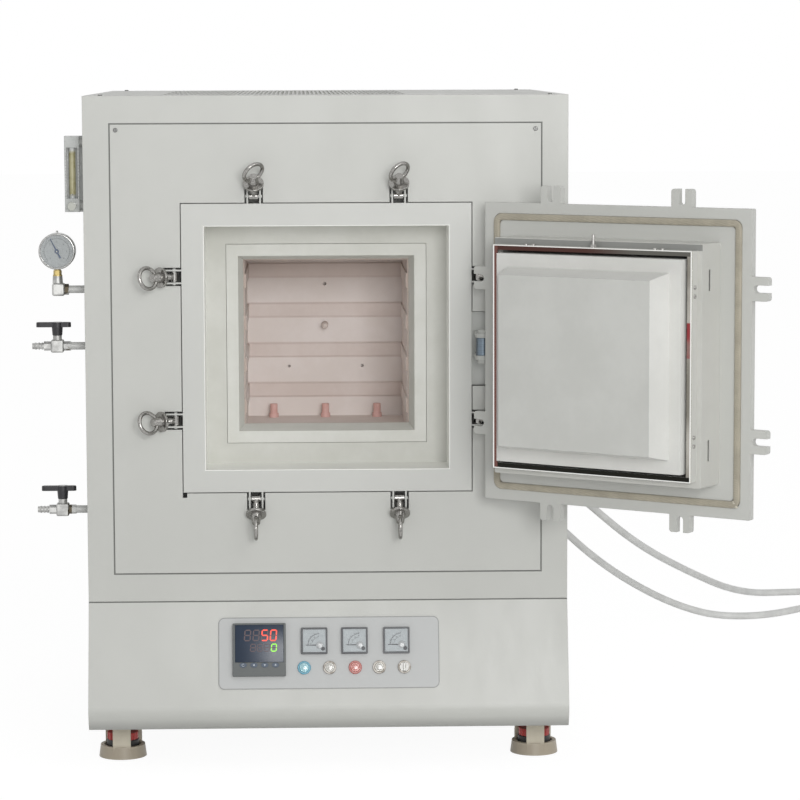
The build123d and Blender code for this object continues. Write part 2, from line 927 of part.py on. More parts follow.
def chamber_lining():
    """The moulded chamber with its four pale bands round the back and sides, and its bores."""
    half = chamber_width / 2
    lining = lining_block()
    lining -= block(-half, half, collar_end - 1, chamber_end, -chamber_below, chamber_above)
    for index in range(band_count):
        top = top_band_height + band_height - index * (band_height + board_height)
        band = block(-half - 1, half + 1, collar_end, chamber_end + 1, top - band_height, top)
        band -= block(
            -half + band_proud, half - band_proud, collar_end - 1, chamber_end - band_proud,
            top - 2 * band_height, top + band_height,
        )
        lining += band
    for x, z in wall_holes_back:
        lining -= rod((x, chamber_end - 2 * band_proud, z), (0, 1, 0), wall_hole_radius, wall_hole_depth)
    for x, z in element_spots:
        start = (x, collar_end + element_front_cover, z)
        lining -= rod(start, (0, 1, 0), element_radius + element_clearance, bore_reach)
    probe_start = (0, chamber_end - 2 * band_proud, probe_height)
    lining -= rod(probe_start, (0, 1, 0), probe_radius + element_clearance, 2 * lining_wall)
    return at_vessel(lining)


keep("chamber_lining", chamber_lining())


def heating_element(x, z):
    """A straight rod in its bore with a gland and terminal on the vessel's back."""
    front = collar_end + element_front_cover + element_clearance
    element = rod((x, front, z), (0, 1, 0), element_radius, vessel_end + terminal_reach - front)
    element += rod((x, vessel_end, z), (0, 1, 0), terminal_radius, terminal_length)
    nut_start = (x, vessel_end + terminal_length, z)
    element += hexagon(nut_start, (0, 1, 0), terminal_radius - 1, terminal_nut_height)
    return at_vessel(element)


keep("heating_elements", *[heating_element(x, z) for x, z in element_spots])


def ceramic_nozzle(x):
    """A stepped ceramic nozzle standing on the chamber floor near its back."""
    foot = (x, chamber_end - nozzle_wall_distance, -chamber_below)
    nozzle = rod(foot, (0, 0, 1), nozzle_foot_radius, nozzle_foot_height)
    nozzle += rod(foot, (0, 0, 1), nozzle_radius, nozzle_height)
    nozzle -= rod(foot, (0, 0, 1), nozzle_radius * 0.4, nozzle_height + 1)
    return at_vessel(nozzle)


probe_length = probe_reach + vessel_end - vessel_wall - chamber_end
probe = rod((0, chamber_end - probe_reach, probe_height), (0, 1, 0), probe_radius, probe_length)
probe = fillet(probe.edges().sort_by(Axis.Y)[0], probe_radius * 0.9)
nozzles = [ceramic_nozzle(side * nozzle_spacing) for side in (-1, 0, 1)]
keep("ceramic_tubes", at_vessel(probe), *nozzles)


# Swing bolts: quarter turns round the vessel, side of the middle, swing outward, roll of the ring
bolt_places = {
    "bolt_top_left": (0, -1, 45.0, 122.0),
    "bolt_top_right": (0, 1, 45.0, 124.0),
    "bolt_left_upper": (1, 1, 47.0, 104.0),
    "bolt_left_lower": (1, -1, 50.0, 109.0),
    "bolt_bottom_left": (2, 1, 50.0, 0.0),
    "bolt_bottom_right": (2, -1, 50.0, 0.0),
    "bolt_right_upper": (3, -1, 50.0, 90.0),
    "bolt_right_lower": (3, 1, 50.0, 90.0),
}


def swing_bolt(turns, side, angle, roll):
    """An eye bolt with its disc, cone nut and ring, swung outward from straight by an angle."""
    x = side * bolt_spacing
    pivot = (x, pivot_depth, pivot_radius)
    bolt = rod((x - eye_width / 2, pivot_depth, pivot_radius), (1, 0, 0), eye_outer_radius, eye_width)
    bolt += rod(pivot, (0, -1, 0), shank_radius, washer_start + washer_thickness)
    eye_start = (x - eye_width, pivot_depth, pivot_radius)
    bolt -= rod(eye_start, (1, 0, 0), pin_radius + eye_clearance, 2 * eye_width)
    disc = rod((x, pivot_depth - washer_start, pivot_radius), (0, -1, 0), washer_radius, washer_thickness)
    bolt += fillet(disc.edges(), 1.0)
    hub_start = (x, pivot_depth - washer_start - washer_thickness, pivot_radius)
    bolt += cone(hub_start, (0, -1, 0), hub_base_radius, hub_top_radius, hub_length)
    ring_plane = Plane(
        origin=(x, pivot_depth - ring_centre, pivot_radius),
        z_dir=(cos(radians(roll)), 0, sin(radians(roll))),
    )
    bolt += ring_plane.location * Torus(ring_radius, ring_wire_radius)
    swing = Axis(pivot, (1, 0, 0))
    return around_vessel(bolt.rotate(swing, -angle), turns)


for name, (turns, side, angle, roll) in bolt_places.items():
    keep(name, swing_bolt(turns, side, angle, roll))


def ear_pair(turns, side):
    """Two ears on the flange's edge with the swing bolt's pin across them."""
    x = side * bolt_spacing
    root = flange_size / 2
    inner = ear_gap / 2
    ears = [
        block(x + low, x + low + ear_thickness, 0, flange_thickness, root, root + ear_reach)
        for low in (-inner - ear_thickness, inner)
    ]
    pin_length = 2 * (inner + ear_thickness + pin_overhang)
    pin = rod((x - pin_length / 2, pivot_depth, pivot_radius), (1, 0, 0), pin_radius, pin_length)
    return around_vessel(ears[0] + ears[1] + pin, turns)


def hinge_bracket():
    """The hinge's back plate on the flange's edge, its two ears and the fixed pin."""
    root = flange_size / 2
    centre = hinge_centre_height
    plate = block(
        root, root + hinge_plate_width, hinge_plate_front, flange_thickness,
        -hinge_cutout_bottom + hinge_fit_gap, hinge_cutout_top - hinge_fit_gap,
    )
    inner = knuckle_height / 2 + knuckle_gap
    for low in (centre - inner - hinge_ear_thickness, centre + inner):
        ear = rod((hinge_x, hinge_y, low), (0, 0, 1), hinge_ear_radius, hinge_ear_thickness)
        ear += block(
            hinge_x - hinge_ear_radius, hinge_x + hinge_ear_radius, hinge_y, hinge_plate_front,
            low, low + hinge_ear_thickness,
        )
        plate += ear
    reach = inner + hinge_ear_thickness
    pin = rod((hinge_x, hinge_y, centre - reach), (0, 0, 1), hinge_pin_radius, 2 * reach)
    plate += pin
    for height, direction in ((centre + reach, 1), (centre - reach, -1)):
        plate += rod((hinge_x, hinge_y, height), (0, 0, direction), pin_head_radius, pin_head_height)
    return at_vessel(plate)


ear_solids = [ear_pair(turns, side) for turns, side, _, _ in bolt_places.values()]
keep("vessel_brackets", hinge_bracket(), *ear_solids)


# Door, drawn shut about the vessel's axis
def at_door(shape):
    """Lifts a door shape to the vessel's axis and swings it open about the hinge."""
    return at_vessel(shape).rotate(hinge_axis, door_open_angle)


def level(height):
    """The place along Y of a height above the door's inner face while it is drawn shut."""
    return door_face_y + height


def door_lug(length):
    """A forked lug above the door's top edge, open outward for a swing bolt."""
    root = door_size / 2
    tip = root + length
    lug = block(-lug_width / 2, lug_width / 2, level(-door_thickness), level(0), root - lug_root, tip)
    corners = lug.edges().filter_by(Axis.Y).group_by(Axis.Z)[-1]
    lug = fillet(corners, lug_corner)
    slot_centre = lug_slot_bottom + lug_slot_width / 2
    gap = block(
        -lug_slot_width / 2, lug_slot_width / 2, level(-door_thickness) - 1, level(0) + 1,
        slot_centre, tip + 1,
    )
    gap += rod(
        (0, level(-door_thickness) - 1, slot_centre), (0, 1, 0), lug_slot_width / 2, door_thickness + 2
    )
    return lug - gap


def door_plate():
    """The heavy door plate with eight forked lugs, the gasket's groove and the seating spindle."""
    plate = square_block(door_size, level(-door_thickness), level(0))
    plate = fillet(plate.edges().filter_by(Axis.Y), door_edge_radius)
    for turns in range(4):
        length = hinge_lug_length if turns == 3 else lug_length
        for offset in (-bolt_spacing, bolt_spacing):
            lug = Pos(offset, 0, 0) * door_lug(length)
            plate += lug.rotate(Axis.Y, -90.0 * turns)
    plate -= gasket_ring(gasket_groove_depth, gasket_proud, gasket_fit)
    spindle_length = arm_gap + arm_thickness + door_seat_travel + arm_gap
    outer = level(-door_thickness)
    plate += square_block(spindle_size, outer - spindle_length, outer)
    plate += rod((0, outer - spindle_length, 0), (0, -1, 0), spindle_cap_radius, spindle_cap_thickness)
    return at_door(plate)


def gasket_ring(below, above, fit):
    """The rounded square ring that the gasket and its groove share."""
    depth = below + above
    outer = gasket_size + 2 * fit
    inner = gasket_size - 2 * gasket_width - 2 * fit
    ring = RectangleRounded(outer, outer, gasket_corner_radius + fit)
    ring -= RectangleRounded(inner, inner, gasket_corner_radius - gasket_width / 2)
    solid = extrude(Plane.XZ * ring, amount=-depth)
    return Pos(0, level(-below), 0) * solid


keep("door_plate", door_plate())
keep("door_gasket", at_door(gasket_ring(gasket_groove_depth, gasket_proud, 0.0)))


def door_tray():
    """The sheet tray on the door's inner face, open inside its front lip, with slots in its sides."""
    tray = block(
        -tray_width / 2, tray_width / 2, level(0), level(tray_height), -tray_tall / 2, tray_tall / 2
    )
    tray = fillet(tray.edges().filter_by(Axis.Y), tray_corner)
    tray -= block(
        -tray_width / 2 + tray_wall, tray_width / 2 - tray_wall, level(-1), level(tray_height - tray_wall),
        -tray_tall / 2 + tray_wall, tray_tall / 2 - tray_wall,
    )
    window = trim_size - 2 * trim_lip + 2 * trim_wall
    tray -= square_block(window, level(0), level(tray_height + 1))
    for side in (-1, 1):
        for height in (-tray_screw_spread, tray_screw_spread):
            tray -= block(
                side * tray_width / 2 - 2 * tray_wall, side * tray_width / 2 + 2 * tray_wall,
                level(tray_slot_depth - tray_slot_width / 2), level(tray_slot_depth + tray_slot_width / 2),
                height - tray_slot_length / 2, height + tray_slot_length / 2,
            )
    return at_door(tray)


keep("door_tray", door_tray())


def door_trim():
    """The polished frame on the tray, with a lip that holds the ceramic plate."""
    trim = square_block(trim_size, level(tray_height), level(trim_height))
    trim -= square_block(trim_size - 2 * trim_wall, level(tray_height - 1), level(trim_height - trim_wall))
    trim -= square_block(trim_size - 2 * trim_lip, level(tray_height), level(trim_height + 1))
    return at_door(trim)


keep("door_trim", door_trim())


def door_plug():
    """The ceramic block of the door with its stepped, tapering plug."""
    plug = square_block(plate_size, level(0), level(plate_height))
    base = Plane.XZ.offset(-level(plate_height)) * Rectangle(plug_base, plug_base)
    front = Plane.XZ.offset(-level(plug_height)) * Rectangle(plug_front, plug_front)
    plug += loft([base, front])
    return at_door(plug)


keep("door_plug", door_plug())


def door_screws():
    """The trim's paired screws on all four sides and the adjusting screw on its top."""
    heads = []
    for turns in range(4):
        for pair in (-trim_screw_spread, trim_screw_spread):
            for shift in (-trim_screw_pitch / 2, trim_screw_pitch / 2):
                start = (pair + shift, level(trim_screw_level), trim_size / 2)
                head = rod(start, (0, 0, 1), door_screw_radius, door_screw_height)
                head = fillet(head.edges().group_by(Axis.Z)[-1], door_screw_height * 0.5)
                heads.append(head.rotate(Axis.Y, -90.0 * turns))
    start = (0, level(trim_screw_level), trim_size / 2)
    adjuster = rod(start, (0, 0, 1), adjust_bolt_radius, adjust_bolt_length)
    adjuster += hexagon(start, (0, 0, 1), adjust_nut_radius, adjust_nut_height)
    return [at_door(head) for head in (*heads, adjuster)]


keep("door_screws", *door_screws())


def hinge_arm():
    """The arm outside the shut door, with its knuckle on the pin and its boss on the spindle."""
    back = level(-door_thickness) - arm_gap
    front = back - arm_thickness
    centre = hinge_centre_height
    arm_end = door_size / 2 - arm_end_margin
    arm = block(0, arm_end, front, back, -arm_height / 2, arm_height / 2)
    neck_low = centre - knuckle_height / 2
    neck_high = centre + knuckle_height / 2
    arm += block(arm_end - 1, hinge_x, front, back, neck_low, neck_high)
    arm += rod((hinge_x, hinge_y, neck_low), (0, 0, 1), hinge_ear_radius, knuckle_height)
    arm -= rod((hinge_x, hinge_y, neck_low - 1), (0, 0, 1), hinge_pin_radius + hinge_fit, knuckle_height + 2)
    arm += rod((0, back, 0), (0, -1, 0), boss_radius, arm_thickness)
    bore = spindle_size + 2 * spindle_fit
    arm -= square_block(bore, front - 1, back + 1)
    return at_door(arm)


keep("hinge_arm", hinge_arm())


# Gas fittings on the left side
def wall_pipe(outer_x, height):
    """A pipe along X from a fitting through the side wall, with a lock nut behind the wall."""
    at = (outer_x, fittings_y, height)
    pipe = rod(at, (1, 0, 0), pipe_radius, wall_x + pipe_inside - outer_x)
    nut_start = (wall_x + sheet, fittings_y, height)
    return pipe + hexagon(nut_start, (1, 0, 0), lock_nut_radius, lock_nut_length)


def valve(index):
    """A quarter-turn valve with its nuts, hose barb and pipe into the case."""
    x = valve_offsets[index]
    height = seam_z + valve_heights[index]
    half = valve_body / 2
    centre = (x, fittings_y, height)
    body = Pos(*centre) * Box(valve_body, valve_body, valve_body)
    body = fillet(body.edges(), 3.0)
    body += hexagon((x + half, fittings_y, height), (1, 0, 0), valve_nut_radius, valve_nut_length)
    body += hexagon((x - half, fittings_y, height), (-1, 0, 0), valve_nut_radius, valve_nut_length)
    barb_start = x - half - valve_nut_length
    barb = rod((barb_start, fittings_y, height), (-1, 0, 0), barb_radius, barb_length)
    for ring in range(barb_ring_count):
        at = barb_start - barb_length + barb_ring_pitch * (ring + 0.5)
        ring_end = barb_radius + barb_ring_proud
        barb += cone((at, fittings_y, height), (1, 0, 0), barb_radius, ring_end, barb_ring_length)
    barb -= rod(
        (barb_start - barb_length - 1, fittings_y, height), (1, 0, 0), barb_radius - barb_wall, barb_length
    )
    neck_length = handle_rise - handle_skirt - neck_gap - half
    neck = rod((x, fittings_y, height + half), (0, 0, 1), neck_radius, neck_length)
    stem = rod((x, fittings_y, height + half), (0, 0, 1), stem_radius, handle_rise + handle_height - half)
    return body + barb + neck + stem + wall_pipe(x + half, height)


def valve_handle(index):
    """A T handle with rounded ends and a tapered skirt round the valve's stem."""
    x = valve_offsets[index]
    base = seam_z + valve_heights[index] + handle_rise
    low = (Align.CENTER, Align.CENTER, Align.MIN)
    handle = Pos(handle_shift, 0, 0) * rounded_bar(handle_length, handle_width, handle_height)
    handle = fillet(handle.edges().group_by(Axis.Z)[-1], 2.0)
    handle = handle + Cylinder(handle_hub_radius, handle_height, align=low)
    handle += cone((0, 0, -handle_skirt), (0, 0, 1), handle_skirt_radius, handle_hub_radius, handle_skirt)
    bore_length = handle_skirt + handle_height + 2
    handle -= rod((0, 0, -handle_skirt - 1), (0, 0, 1), stem_radius + stem_fit, bore_length)
    return Pos(x, fittings_y, base) * handle


keep("valve_handle_upper", valve_handle(0))
keep("valve_handle_lower", valve_handle(1))


def gauge_pipe():
    """The gauge's stem, elbow, nut and pipe into the case."""
    height = seam_z + gauge_height - gauge_drop
    half = elbow_size / 2
    elbow = Pos(gauge_elbow_x, fittings_y, height) * Box(elbow_size, elbow_size, elbow_size)
    elbow = fillet(elbow.edges(), 4.0)
    top = seam_z + gauge_height - gauge_radius - height
    elbow += rod((gauge_x, fittings_y, height), (0, 0, 1), gauge_stem_radius, top)
    reducer_start = (gauge_x, fittings_y, height + half)
    elbow += cone(reducer_start, (0, 0, 1), reducer_radius, reducer_top_radius, reducer_length)
    nut_start = (gauge_x, fittings_y, height + half + reducer_length)
    elbow += hexagon(nut_start, (0, 0, 1), gauge_nut_radius, gauge_nut_length)
    side_nut = (gauge_elbow_x + half, fittings_y, height)
    elbow += hexagon(side_nut, (1, 0, 0), elbow_nut_radius, elbow_nut_length)
    return elbow + wall_pipe(gauge_elbow_x + half, height)


def back_port(height):
    """A hose port through the back wall: pipe, nut and barb."""
    start = (port_x, cabinet_depth - port_pipe_length, height)
    port = rod(start, (0, 1, 0), port_barb_radius, port_pipe_length + port_nut_length)
    port += hexagon((port_x, cabinet_depth, height), (0, 1, 0), port_nut_radius, port_nut_length)
    barb_start = (port_x, cabinet_depth + port_nut_length, height)
    return port + rod(barb_start, (0, 1, 0), port_barb_radius, port_barb_length)


def flow_port(height):
    """A short pipe that carries the flowmeter on the side wall."""
    start_x = flow_x + flow_width / 2
    start = (start_x, fittings_y, height)
    port = rod(start, (1, 0, 0), gauge_stem_radius, wall_x + pipe_inside - start_x)
    return port + rod(start, (1, 0, 0), flow_collar_radius, wall_x - start_x)


pipework = [valve(0), valve(1), gauge_pipe()]
pipework += [back_port(height) for height in port_heights]
pipework += [flow_port(height) for height in flow_port_heights]
keep("gas_pipework", *pipework)


def gauge_case():
    """The round pressure gauge with a rim round its sunk dial and a centre pin."""
    y = fittings_y - gauge_depth / 2
    height = seam_z + gauge_height
    case = rod((gauge_x, y, height), (0, 1, 0), gauge_radius, gauge_depth)
    case = fillet(case.edges(), 2.0)
    case -= rod((gauge_x, y - 1, height), (0, 1, 0), gauge_radius - gauge_rim, gauge_glass_recess + 1)
    pin = rod((gauge_x, y + 1, height), (0, 1, 0), needle_pin_radius, gauge_glass_recess)
    plug_start = (gauge_x, fittings_y, height)
    plug = rod(plug_start, (0, 0, 1), vent_plug_radius, gauge_radius + vent_plug_height)
    return case + pin + plug


keep("gauge_case", gauge_case())


def gauge_needle():
    """The gauge's needle, pointing up before it is turned to its reading."""
    y = fittings_y - gauge_depth / 2 + gauge_glass_recess - needle_gap - needle_thickness
    height = seam_z + gauge_height
    outline = Polyline(
        (-needle_width / 2, -needle_tail), (needle_width / 2, -needle_tail),
        (needle_tip_width / 2, needle_length - needle_tail),
        (-needle_tip_width / 2, needle_length - needle_tail), close=True,
    )
    needle = extrude(make_face(Plane.XZ * outline), amount=needle_thickness, dir=(0, 1, 0))
    needle = needle + rod((0, 0, 0), (0, 1, 0), needle_hub_radius, needle_thickness)
    needle -= rod((0, -1, 0), (0, 1, 0), needle_pin_radius + needle_pin_fit, needle_thickness + 2)
    needle = needle.rotate(Axis.Y, -needle_angle)
    return Pos(gauge_x, y, height) * needle


keep("gauge_needle", gauge_needle())


def flowmeter_body():
    """The upright flowmeter block with its open window, the clear tube in it and its wall bracket."""
    front = fittings_y - flow_depth / 2
    low = flow_low
    body = block(
        flow_x - flow_width / 2, flow_x + flow_width / 2, front, front + flow_depth, low, low + flow_height
    )
    body = fillet(body.edges().filter_by(Axis.Z), 1.5)
    tube_low = low + flow_tube_bottom
    tube_high = tube_low + flow_tube_length
    body -= block(
        flow_x - flow_window_width / 2, flow_x + flow_window_width / 2, front - 1, front + flow_window_depth,
        tube_low, tube_high,
    )
    tube_y = front + flow_window_depth / 2
    body += rod((flow_x, tube_y, tube_low), (0, 0, 1), flow_tube_radius, flow_tube_length)
    knob_z = low + flow_knob_drop
    bore = flow_spindle_radius + flow_knob_fit
    body -= rod((flow_x, front - 1, knob_z), (0, 1, 0), bore, flow_spindle_depth + 1)
    bracket_x = flow_x + flow_width / 2
    bracket = block(
        bracket_x, wall_x - bracket_wall_gap, front + bracket_front, front + flow_depth,
        low, low + flow_height,
    )
    for height in flow_port_heights:
        start = (bracket_x, fittings_y, height)
        bracket -= rod(start, (1, 0, 0), flow_collar_radius + bracket_fit, wall_x - bracket_x)
    return body + bracket


keep("flowmeter_body", flowmeter_body())


def flowmeter_knob():
    """The flowmeter's front knob, fluted round its rim, on its spindle."""
    front = fittings_y - flow_depth / 2
    centre = (flow_x, front - flow_knob_gap, flow_low + flow_knob_drop)
    knob = rod(centre, (0, -1, 0), flow_knob_radius, flow_knob_length)
    knob = fillet(knob.edges().sort_by(Axis.Y)[0], 1.0)
    for index in range(flute_count):
        angle = 2 * pi * index / flute_count
        x = centre[0] + flow_knob_radius * cos(angle)
        z = centre[2] + flow_knob_radius * sin(angle)
        knob -= rod((x, centre[1] + 1, z), (0, -1, 0), flute_radius, flow_knob_length + 2)
    return knob + rod(centre, (0, 1, 0), flow_spindle_radius, flow_spindle_depth - 1)


keep("flowmeter_knob", flowmeter_knob())


# Casters
def caster_housing():
    """The caster's head, columns, skirt and wheel cheeks, drawn about its swivel axis."""
    low = (Align.CENTER, Align.CENTER, Align.MIN)
    head_top = base_bottom - caster_plate_thickness - caster_head_gap
    head_low = head_top - caster_head_height
    housing = Pos(0, 0, head_low) * Box(caster_head_size, caster_head_size, caster_head_height, align=low)
    housing = fillet(housing.edges().filter_by(Axis.Z), caster_head_corner)
    skirt = Pos(0, 0, skirt_bottom) * Cone(skirt_radius, skirt_radius - skirt_flare, skirt_height, align=low)
    skirt -= Pos(0, 0, skirt_bottom - 1) * Cylinder(skirt_inner_radius, skirt_height + 2, align=low)
    housing += skirt
    column_y = -(skirt_inner_radius + 0.5)
    housing += block(
        -column_width / 2, column_width / 2, column_y - column_front, column_y + column_back,
        skirt_bottom, head_low + 1,
    )
    half = rear_column_size / 2
    for side in (-1, 1):
        x = side * rear_column_x
        housing += block(
            x - half, x + half, rear_column_y - half, rear_column_y + half, skirt_bottom + 2, head_low + 1
        )
    axle_z = wheel_lift + wheel_radius
    inner = wheel_width / 2 + cheek_gap
    housing -= block(
        -inner, inner, rear_column_y - half, wheel_offset + wheel_radius + cheek_thickness, -1, head_low - 1
    )
    for low_x in (-inner - cheek_thickness, inner):
        housing += block(
            low_x, low_x + cheek_thickness, skirt_inner_radius + 4, wheel_offset + cheek_height / 2,
            axle_z - cheek_height / 2, axle_z + cheek_height / 2,
        )
    for side in (-1, 1):
        near = inner + cheek_thickness - 1
        housing += block(
            min(side * near, side * (rear_column_x + half)), max(side * near, side * (rear_column_x + half)),
            skirt_inner_radius - cheek_thickness, skirt_inner_radius + 2 * cheek_thickness,
            axle_z - cheek_height / 2, axle_z + cheek_height / 2,
        )
    axle_length = 2 * (inner + cheek_thickness)
    housing += rod((-axle_length / 2, wheel_offset, axle_z), (1, 0, 0), axle_radius, axle_length)
    bore = caster_stem_radius + caster_stem_fit
    housing -= Pos(0, 0, head_low - 1) * Cylinder(bore, caster_head_height + 2, align=low)
    return housing


def caster_wheel():
    """The wheel with rounded rims and its axle bore."""
    axle_z = wheel_lift + wheel_radius
    wheel = rod((-wheel_width / 2, wheel_offset, axle_z), (1, 0, 0), wheel_radius, wheel_width)
    wheel = fillet(wheel.edges(), 3.0)
    bore = rod((-wheel_width, wheel_offset, axle_z), (1, 0, 0), axle_radius + wheel_bore_fit, 2 * wheel_width)
    return wheel - bore


def caster_pad():
    """The rubber foot, its toothed thumb ring and the jack screw that runs up the hollow stem."""
    low = (Align.CENTER, Align.CENTER, Align.MIN)
    pad = fillet(Cylinder(pad_radius, pad_height, align=low).edges(), 2.0)
    ring = Pos(0, 0, pad_height) * Cylinder(thumb_ring_radius, thumb_ring_height, align=low)
    for index in range(thumb_notch_count):
        angle = 2 * pi * index / thumb_notch_count
        x = thumb_ring_radius * cos(angle)
        y = thumb_ring_radius * sin(angle)
        ring -= Pos(x, y, pad_height - 1) * Cylinder(thumb_notch_radius, thumb_ring_height + 2, align=low)
    ring_top = pad_height + thumb_ring_height
    screw = Pos(0, 0, ring_top) * Cylinder(pad_screw_radius, pad_screw_length, align=low)
    return pad, ring + screw


caster_names = ("front_left", "back_left", "front_right", "back_right")
for name, (x, y) in zip(caster_names, caster_spots):
    keep(f"caster_{name}", Pos(x, y, 0) * caster_housing())
    keep(f"wheel_{name}", Pos(x, y, 0) * caster_wheel())
    keep(f"pad_{name}", *[Pos(x, y, 0) * piece for piece in caster_pad()])


# Power unit on the base floor
def power_supply():
    """A cased transformer with two coils, and a fired power module with its heat sink."""
    floor = base_bottom + sheet
    low = (Align.CENTER, Align.CENTER, Align.MIN)
    window_height = transformer_core_height - 2 * core_foot
    window = Box(transformer_width - 2 * core_foot, transformer_depth + 2, window_height, align=low)
    core = Box(transformer_width, transformer_depth, transformer_core_height, align=low)
    core -= Pos(0, 0, core_foot) * window
    for side in (-1, 1):
        coil = Cylinder(coil_radius, window_height, align=low)
        core += Pos(side * (coil_radius + coil_gap), 0, core_foot) * coil
    module = Box(module_width, module_depth, module_height - fin_height, align=low)
    for index in range(fin_count):
        across = (index - (fin_count - 1) / 2) * module_width / fin_count
        fin = Box(fin_thickness, module_depth, fin_height, align=low)
        module += Pos(across, 0, module_height - fin_height - 1) * fin
    return (
        Pos(transformer_x, power_y, floor) * core,
        Pos(module_x, power_y, floor) * module,
    )


keep("power_supply", *power_supply())


# Free hoses
def hose(route, name):
    """A hose along straight runs joined by arcs as large as the runs allow."""
    points = [Vector(*point) for point in route]
    radii = []
    for before, corner, after in zip(points, points[1:], points[2:]):
        first = corner - before
        second = after - corner
        half_turn = radians(first.get_angle(second)) / 2
        radii.append(0.45 * min(first.length, second.length) / tan(half_turn))
    path = FilletPolyline(*points, radius=radii)
    section = Plane(origin=points[0], z_dir=points[1] - points[0]) * Circle(hose_diameter / 2)
    tube = sweep(section, path=path)
    expected = pi * (hose_diameter / 2) ** 2 * path.length
    print(f"{name}: length {path.length:.0f}, radii {[round(radius) for radius in radii]}")
    print(f"{name}: volume {tube.volume:.0f} of {expected:.0f}, lowest {tube.bounding_box().min.Z:.2f}")
    return tube


def hose_connector(route):
    """The brass end fitting of a hose: collar, nut and nipple in line with its last run."""
    end = Vector(*route[-1])
    direction = (end - Vector(*route[-2])).normalized()
    fitting = rod(end, direction, connector_collar_radius, connector_collar_length)
    nut_start = end + direction * connector_collar_length
    fitting += hexagon(nut_start, direction, connector_nut_radius, connector_nut_length)
    nipple_start = nut_start + direction * connector_nut_length
    fitting += rod(nipple_start, direction, connector_nipple_radius, connector_nipple_length)
    bore = rod(nipple_start, direction, connector_nipple_radius - connector_wall, connector_nipple_length + 1)
    return fitting - bore


upper_hose = hose(upper_route, "upper hose")
lower_hose = hose(lower_route, "lower hose")
keep("hose_upper", upper_hose)
keep("hose_lower", lower_hose)
keep("hose_end_fittings", hose_connector(upper_route), hose_connector(lower_route))

# Move the part so that its box, hoses left out, stands on the middle of its footprint
cord_nodes = ("hose_upper", "hose_lower", "hose_end_fittings")
body_solids = [solid for name, solids in nodes.items() if name not in cord_nodes for solid in solids]
box = body_solids[0].bounding_box()
for solid in body_solids[1:]:
    box = box.add(solid.bounding_box())
shift_x = -(box.min.X + box.max.X) / 2
shift_y = -(box.min.Y + box.max.Y) / 2
shift_z = -box.min.Z
print(f"shift {shift_x:.4f} {shift_y:.4f} {shift_z:.4f}")
print(f"size {box.size.X:.3f} {box.size.Y:.3f} {box.size.Z:.3f}, hinge {hinge_x:.4f} {hinge_y:.4f}")

os.makedirs("parts", exist_ok=True)
for name, solids in nodes.items():
    moved = [Pos(shift_x, shift_y, shift_z) * solid for solid in solids]
    export_step(moved[0] if len(moved) == 1 else Compound(moved), f"parts/{name}.step")
print(f"{len(nodes)} nodes")
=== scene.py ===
"""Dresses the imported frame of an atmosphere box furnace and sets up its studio, camera and floor.

All lengths are metres in the row's frame. Places on the furnace are first written in millimetres of the
cabinet's own frame, whose X is 0 at the cabinet's middle, Y is 0 on its front face and Z is 0 on the floor.
"""

from __future__ import annotations

import json
import logging
import math
from dataclasses import dataclass
from enum import Enum
from typing import Any, Callable, Sequence, Union

import bmesh
import bpy
from mathutils import Matrix, Vector

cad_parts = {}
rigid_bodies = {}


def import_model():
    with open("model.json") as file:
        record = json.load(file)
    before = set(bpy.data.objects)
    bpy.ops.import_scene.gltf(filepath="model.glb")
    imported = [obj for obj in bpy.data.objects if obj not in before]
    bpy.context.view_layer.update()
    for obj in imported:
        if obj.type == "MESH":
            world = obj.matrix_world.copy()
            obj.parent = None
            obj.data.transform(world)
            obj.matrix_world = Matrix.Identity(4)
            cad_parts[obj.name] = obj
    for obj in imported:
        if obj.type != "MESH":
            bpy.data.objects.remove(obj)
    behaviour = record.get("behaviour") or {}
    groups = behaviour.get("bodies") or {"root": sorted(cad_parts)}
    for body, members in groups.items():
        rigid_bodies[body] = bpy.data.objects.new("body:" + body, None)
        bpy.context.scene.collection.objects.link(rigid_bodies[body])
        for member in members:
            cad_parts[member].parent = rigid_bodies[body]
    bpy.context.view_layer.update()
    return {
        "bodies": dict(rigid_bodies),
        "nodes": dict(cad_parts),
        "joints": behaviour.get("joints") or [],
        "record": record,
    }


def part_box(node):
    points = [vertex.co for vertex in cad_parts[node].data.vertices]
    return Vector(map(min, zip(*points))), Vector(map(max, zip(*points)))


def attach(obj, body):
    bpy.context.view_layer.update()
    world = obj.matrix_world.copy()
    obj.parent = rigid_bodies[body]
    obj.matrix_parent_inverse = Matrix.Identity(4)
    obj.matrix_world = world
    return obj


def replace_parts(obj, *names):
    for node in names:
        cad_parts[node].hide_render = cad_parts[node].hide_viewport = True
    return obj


LOG = logging.getLogger("furnace")
MM = 0.001
SEAM_Z = 0.306
VESSEL_Z = 0.767
SLOPE = math.atan2(55.0, 197.0)
UP = Vector((0.0, 0.0, 1.0))
FRONT = Vector((0.0, -1.0, 0.0))
Colour = tuple[float, float, float]
Pair = tuple[float, float]
Triple = tuple[float, float, float]
Material = bpy.types.Material
BMesh = bmesh.types.BMesh


class Axis3(Enum):
    """The row's axes by their place in a vector."""

    X = 0
    Y = 1
    Z = 2


def _operator(operation: str, swapped: bool = False) -> Callable[..., "Value"]:
    """Returns a method that adds one Math node for a Python operator.

    Args:
        operation: The Math node's operation.
        swapped: Whether the value stands on the operator's right.

    Returns:
        The method.
    """

    def method(self: "Value", *others: Any) -> "Value":
        """Adds the Math node and returns its result."""
        sides = (self, *others)[::-1] if swapped else (self, *others)
        return self.graph.node("ShaderNodeMath", {"operation": operation}, dict(enumerate(sides))).out()

    return method


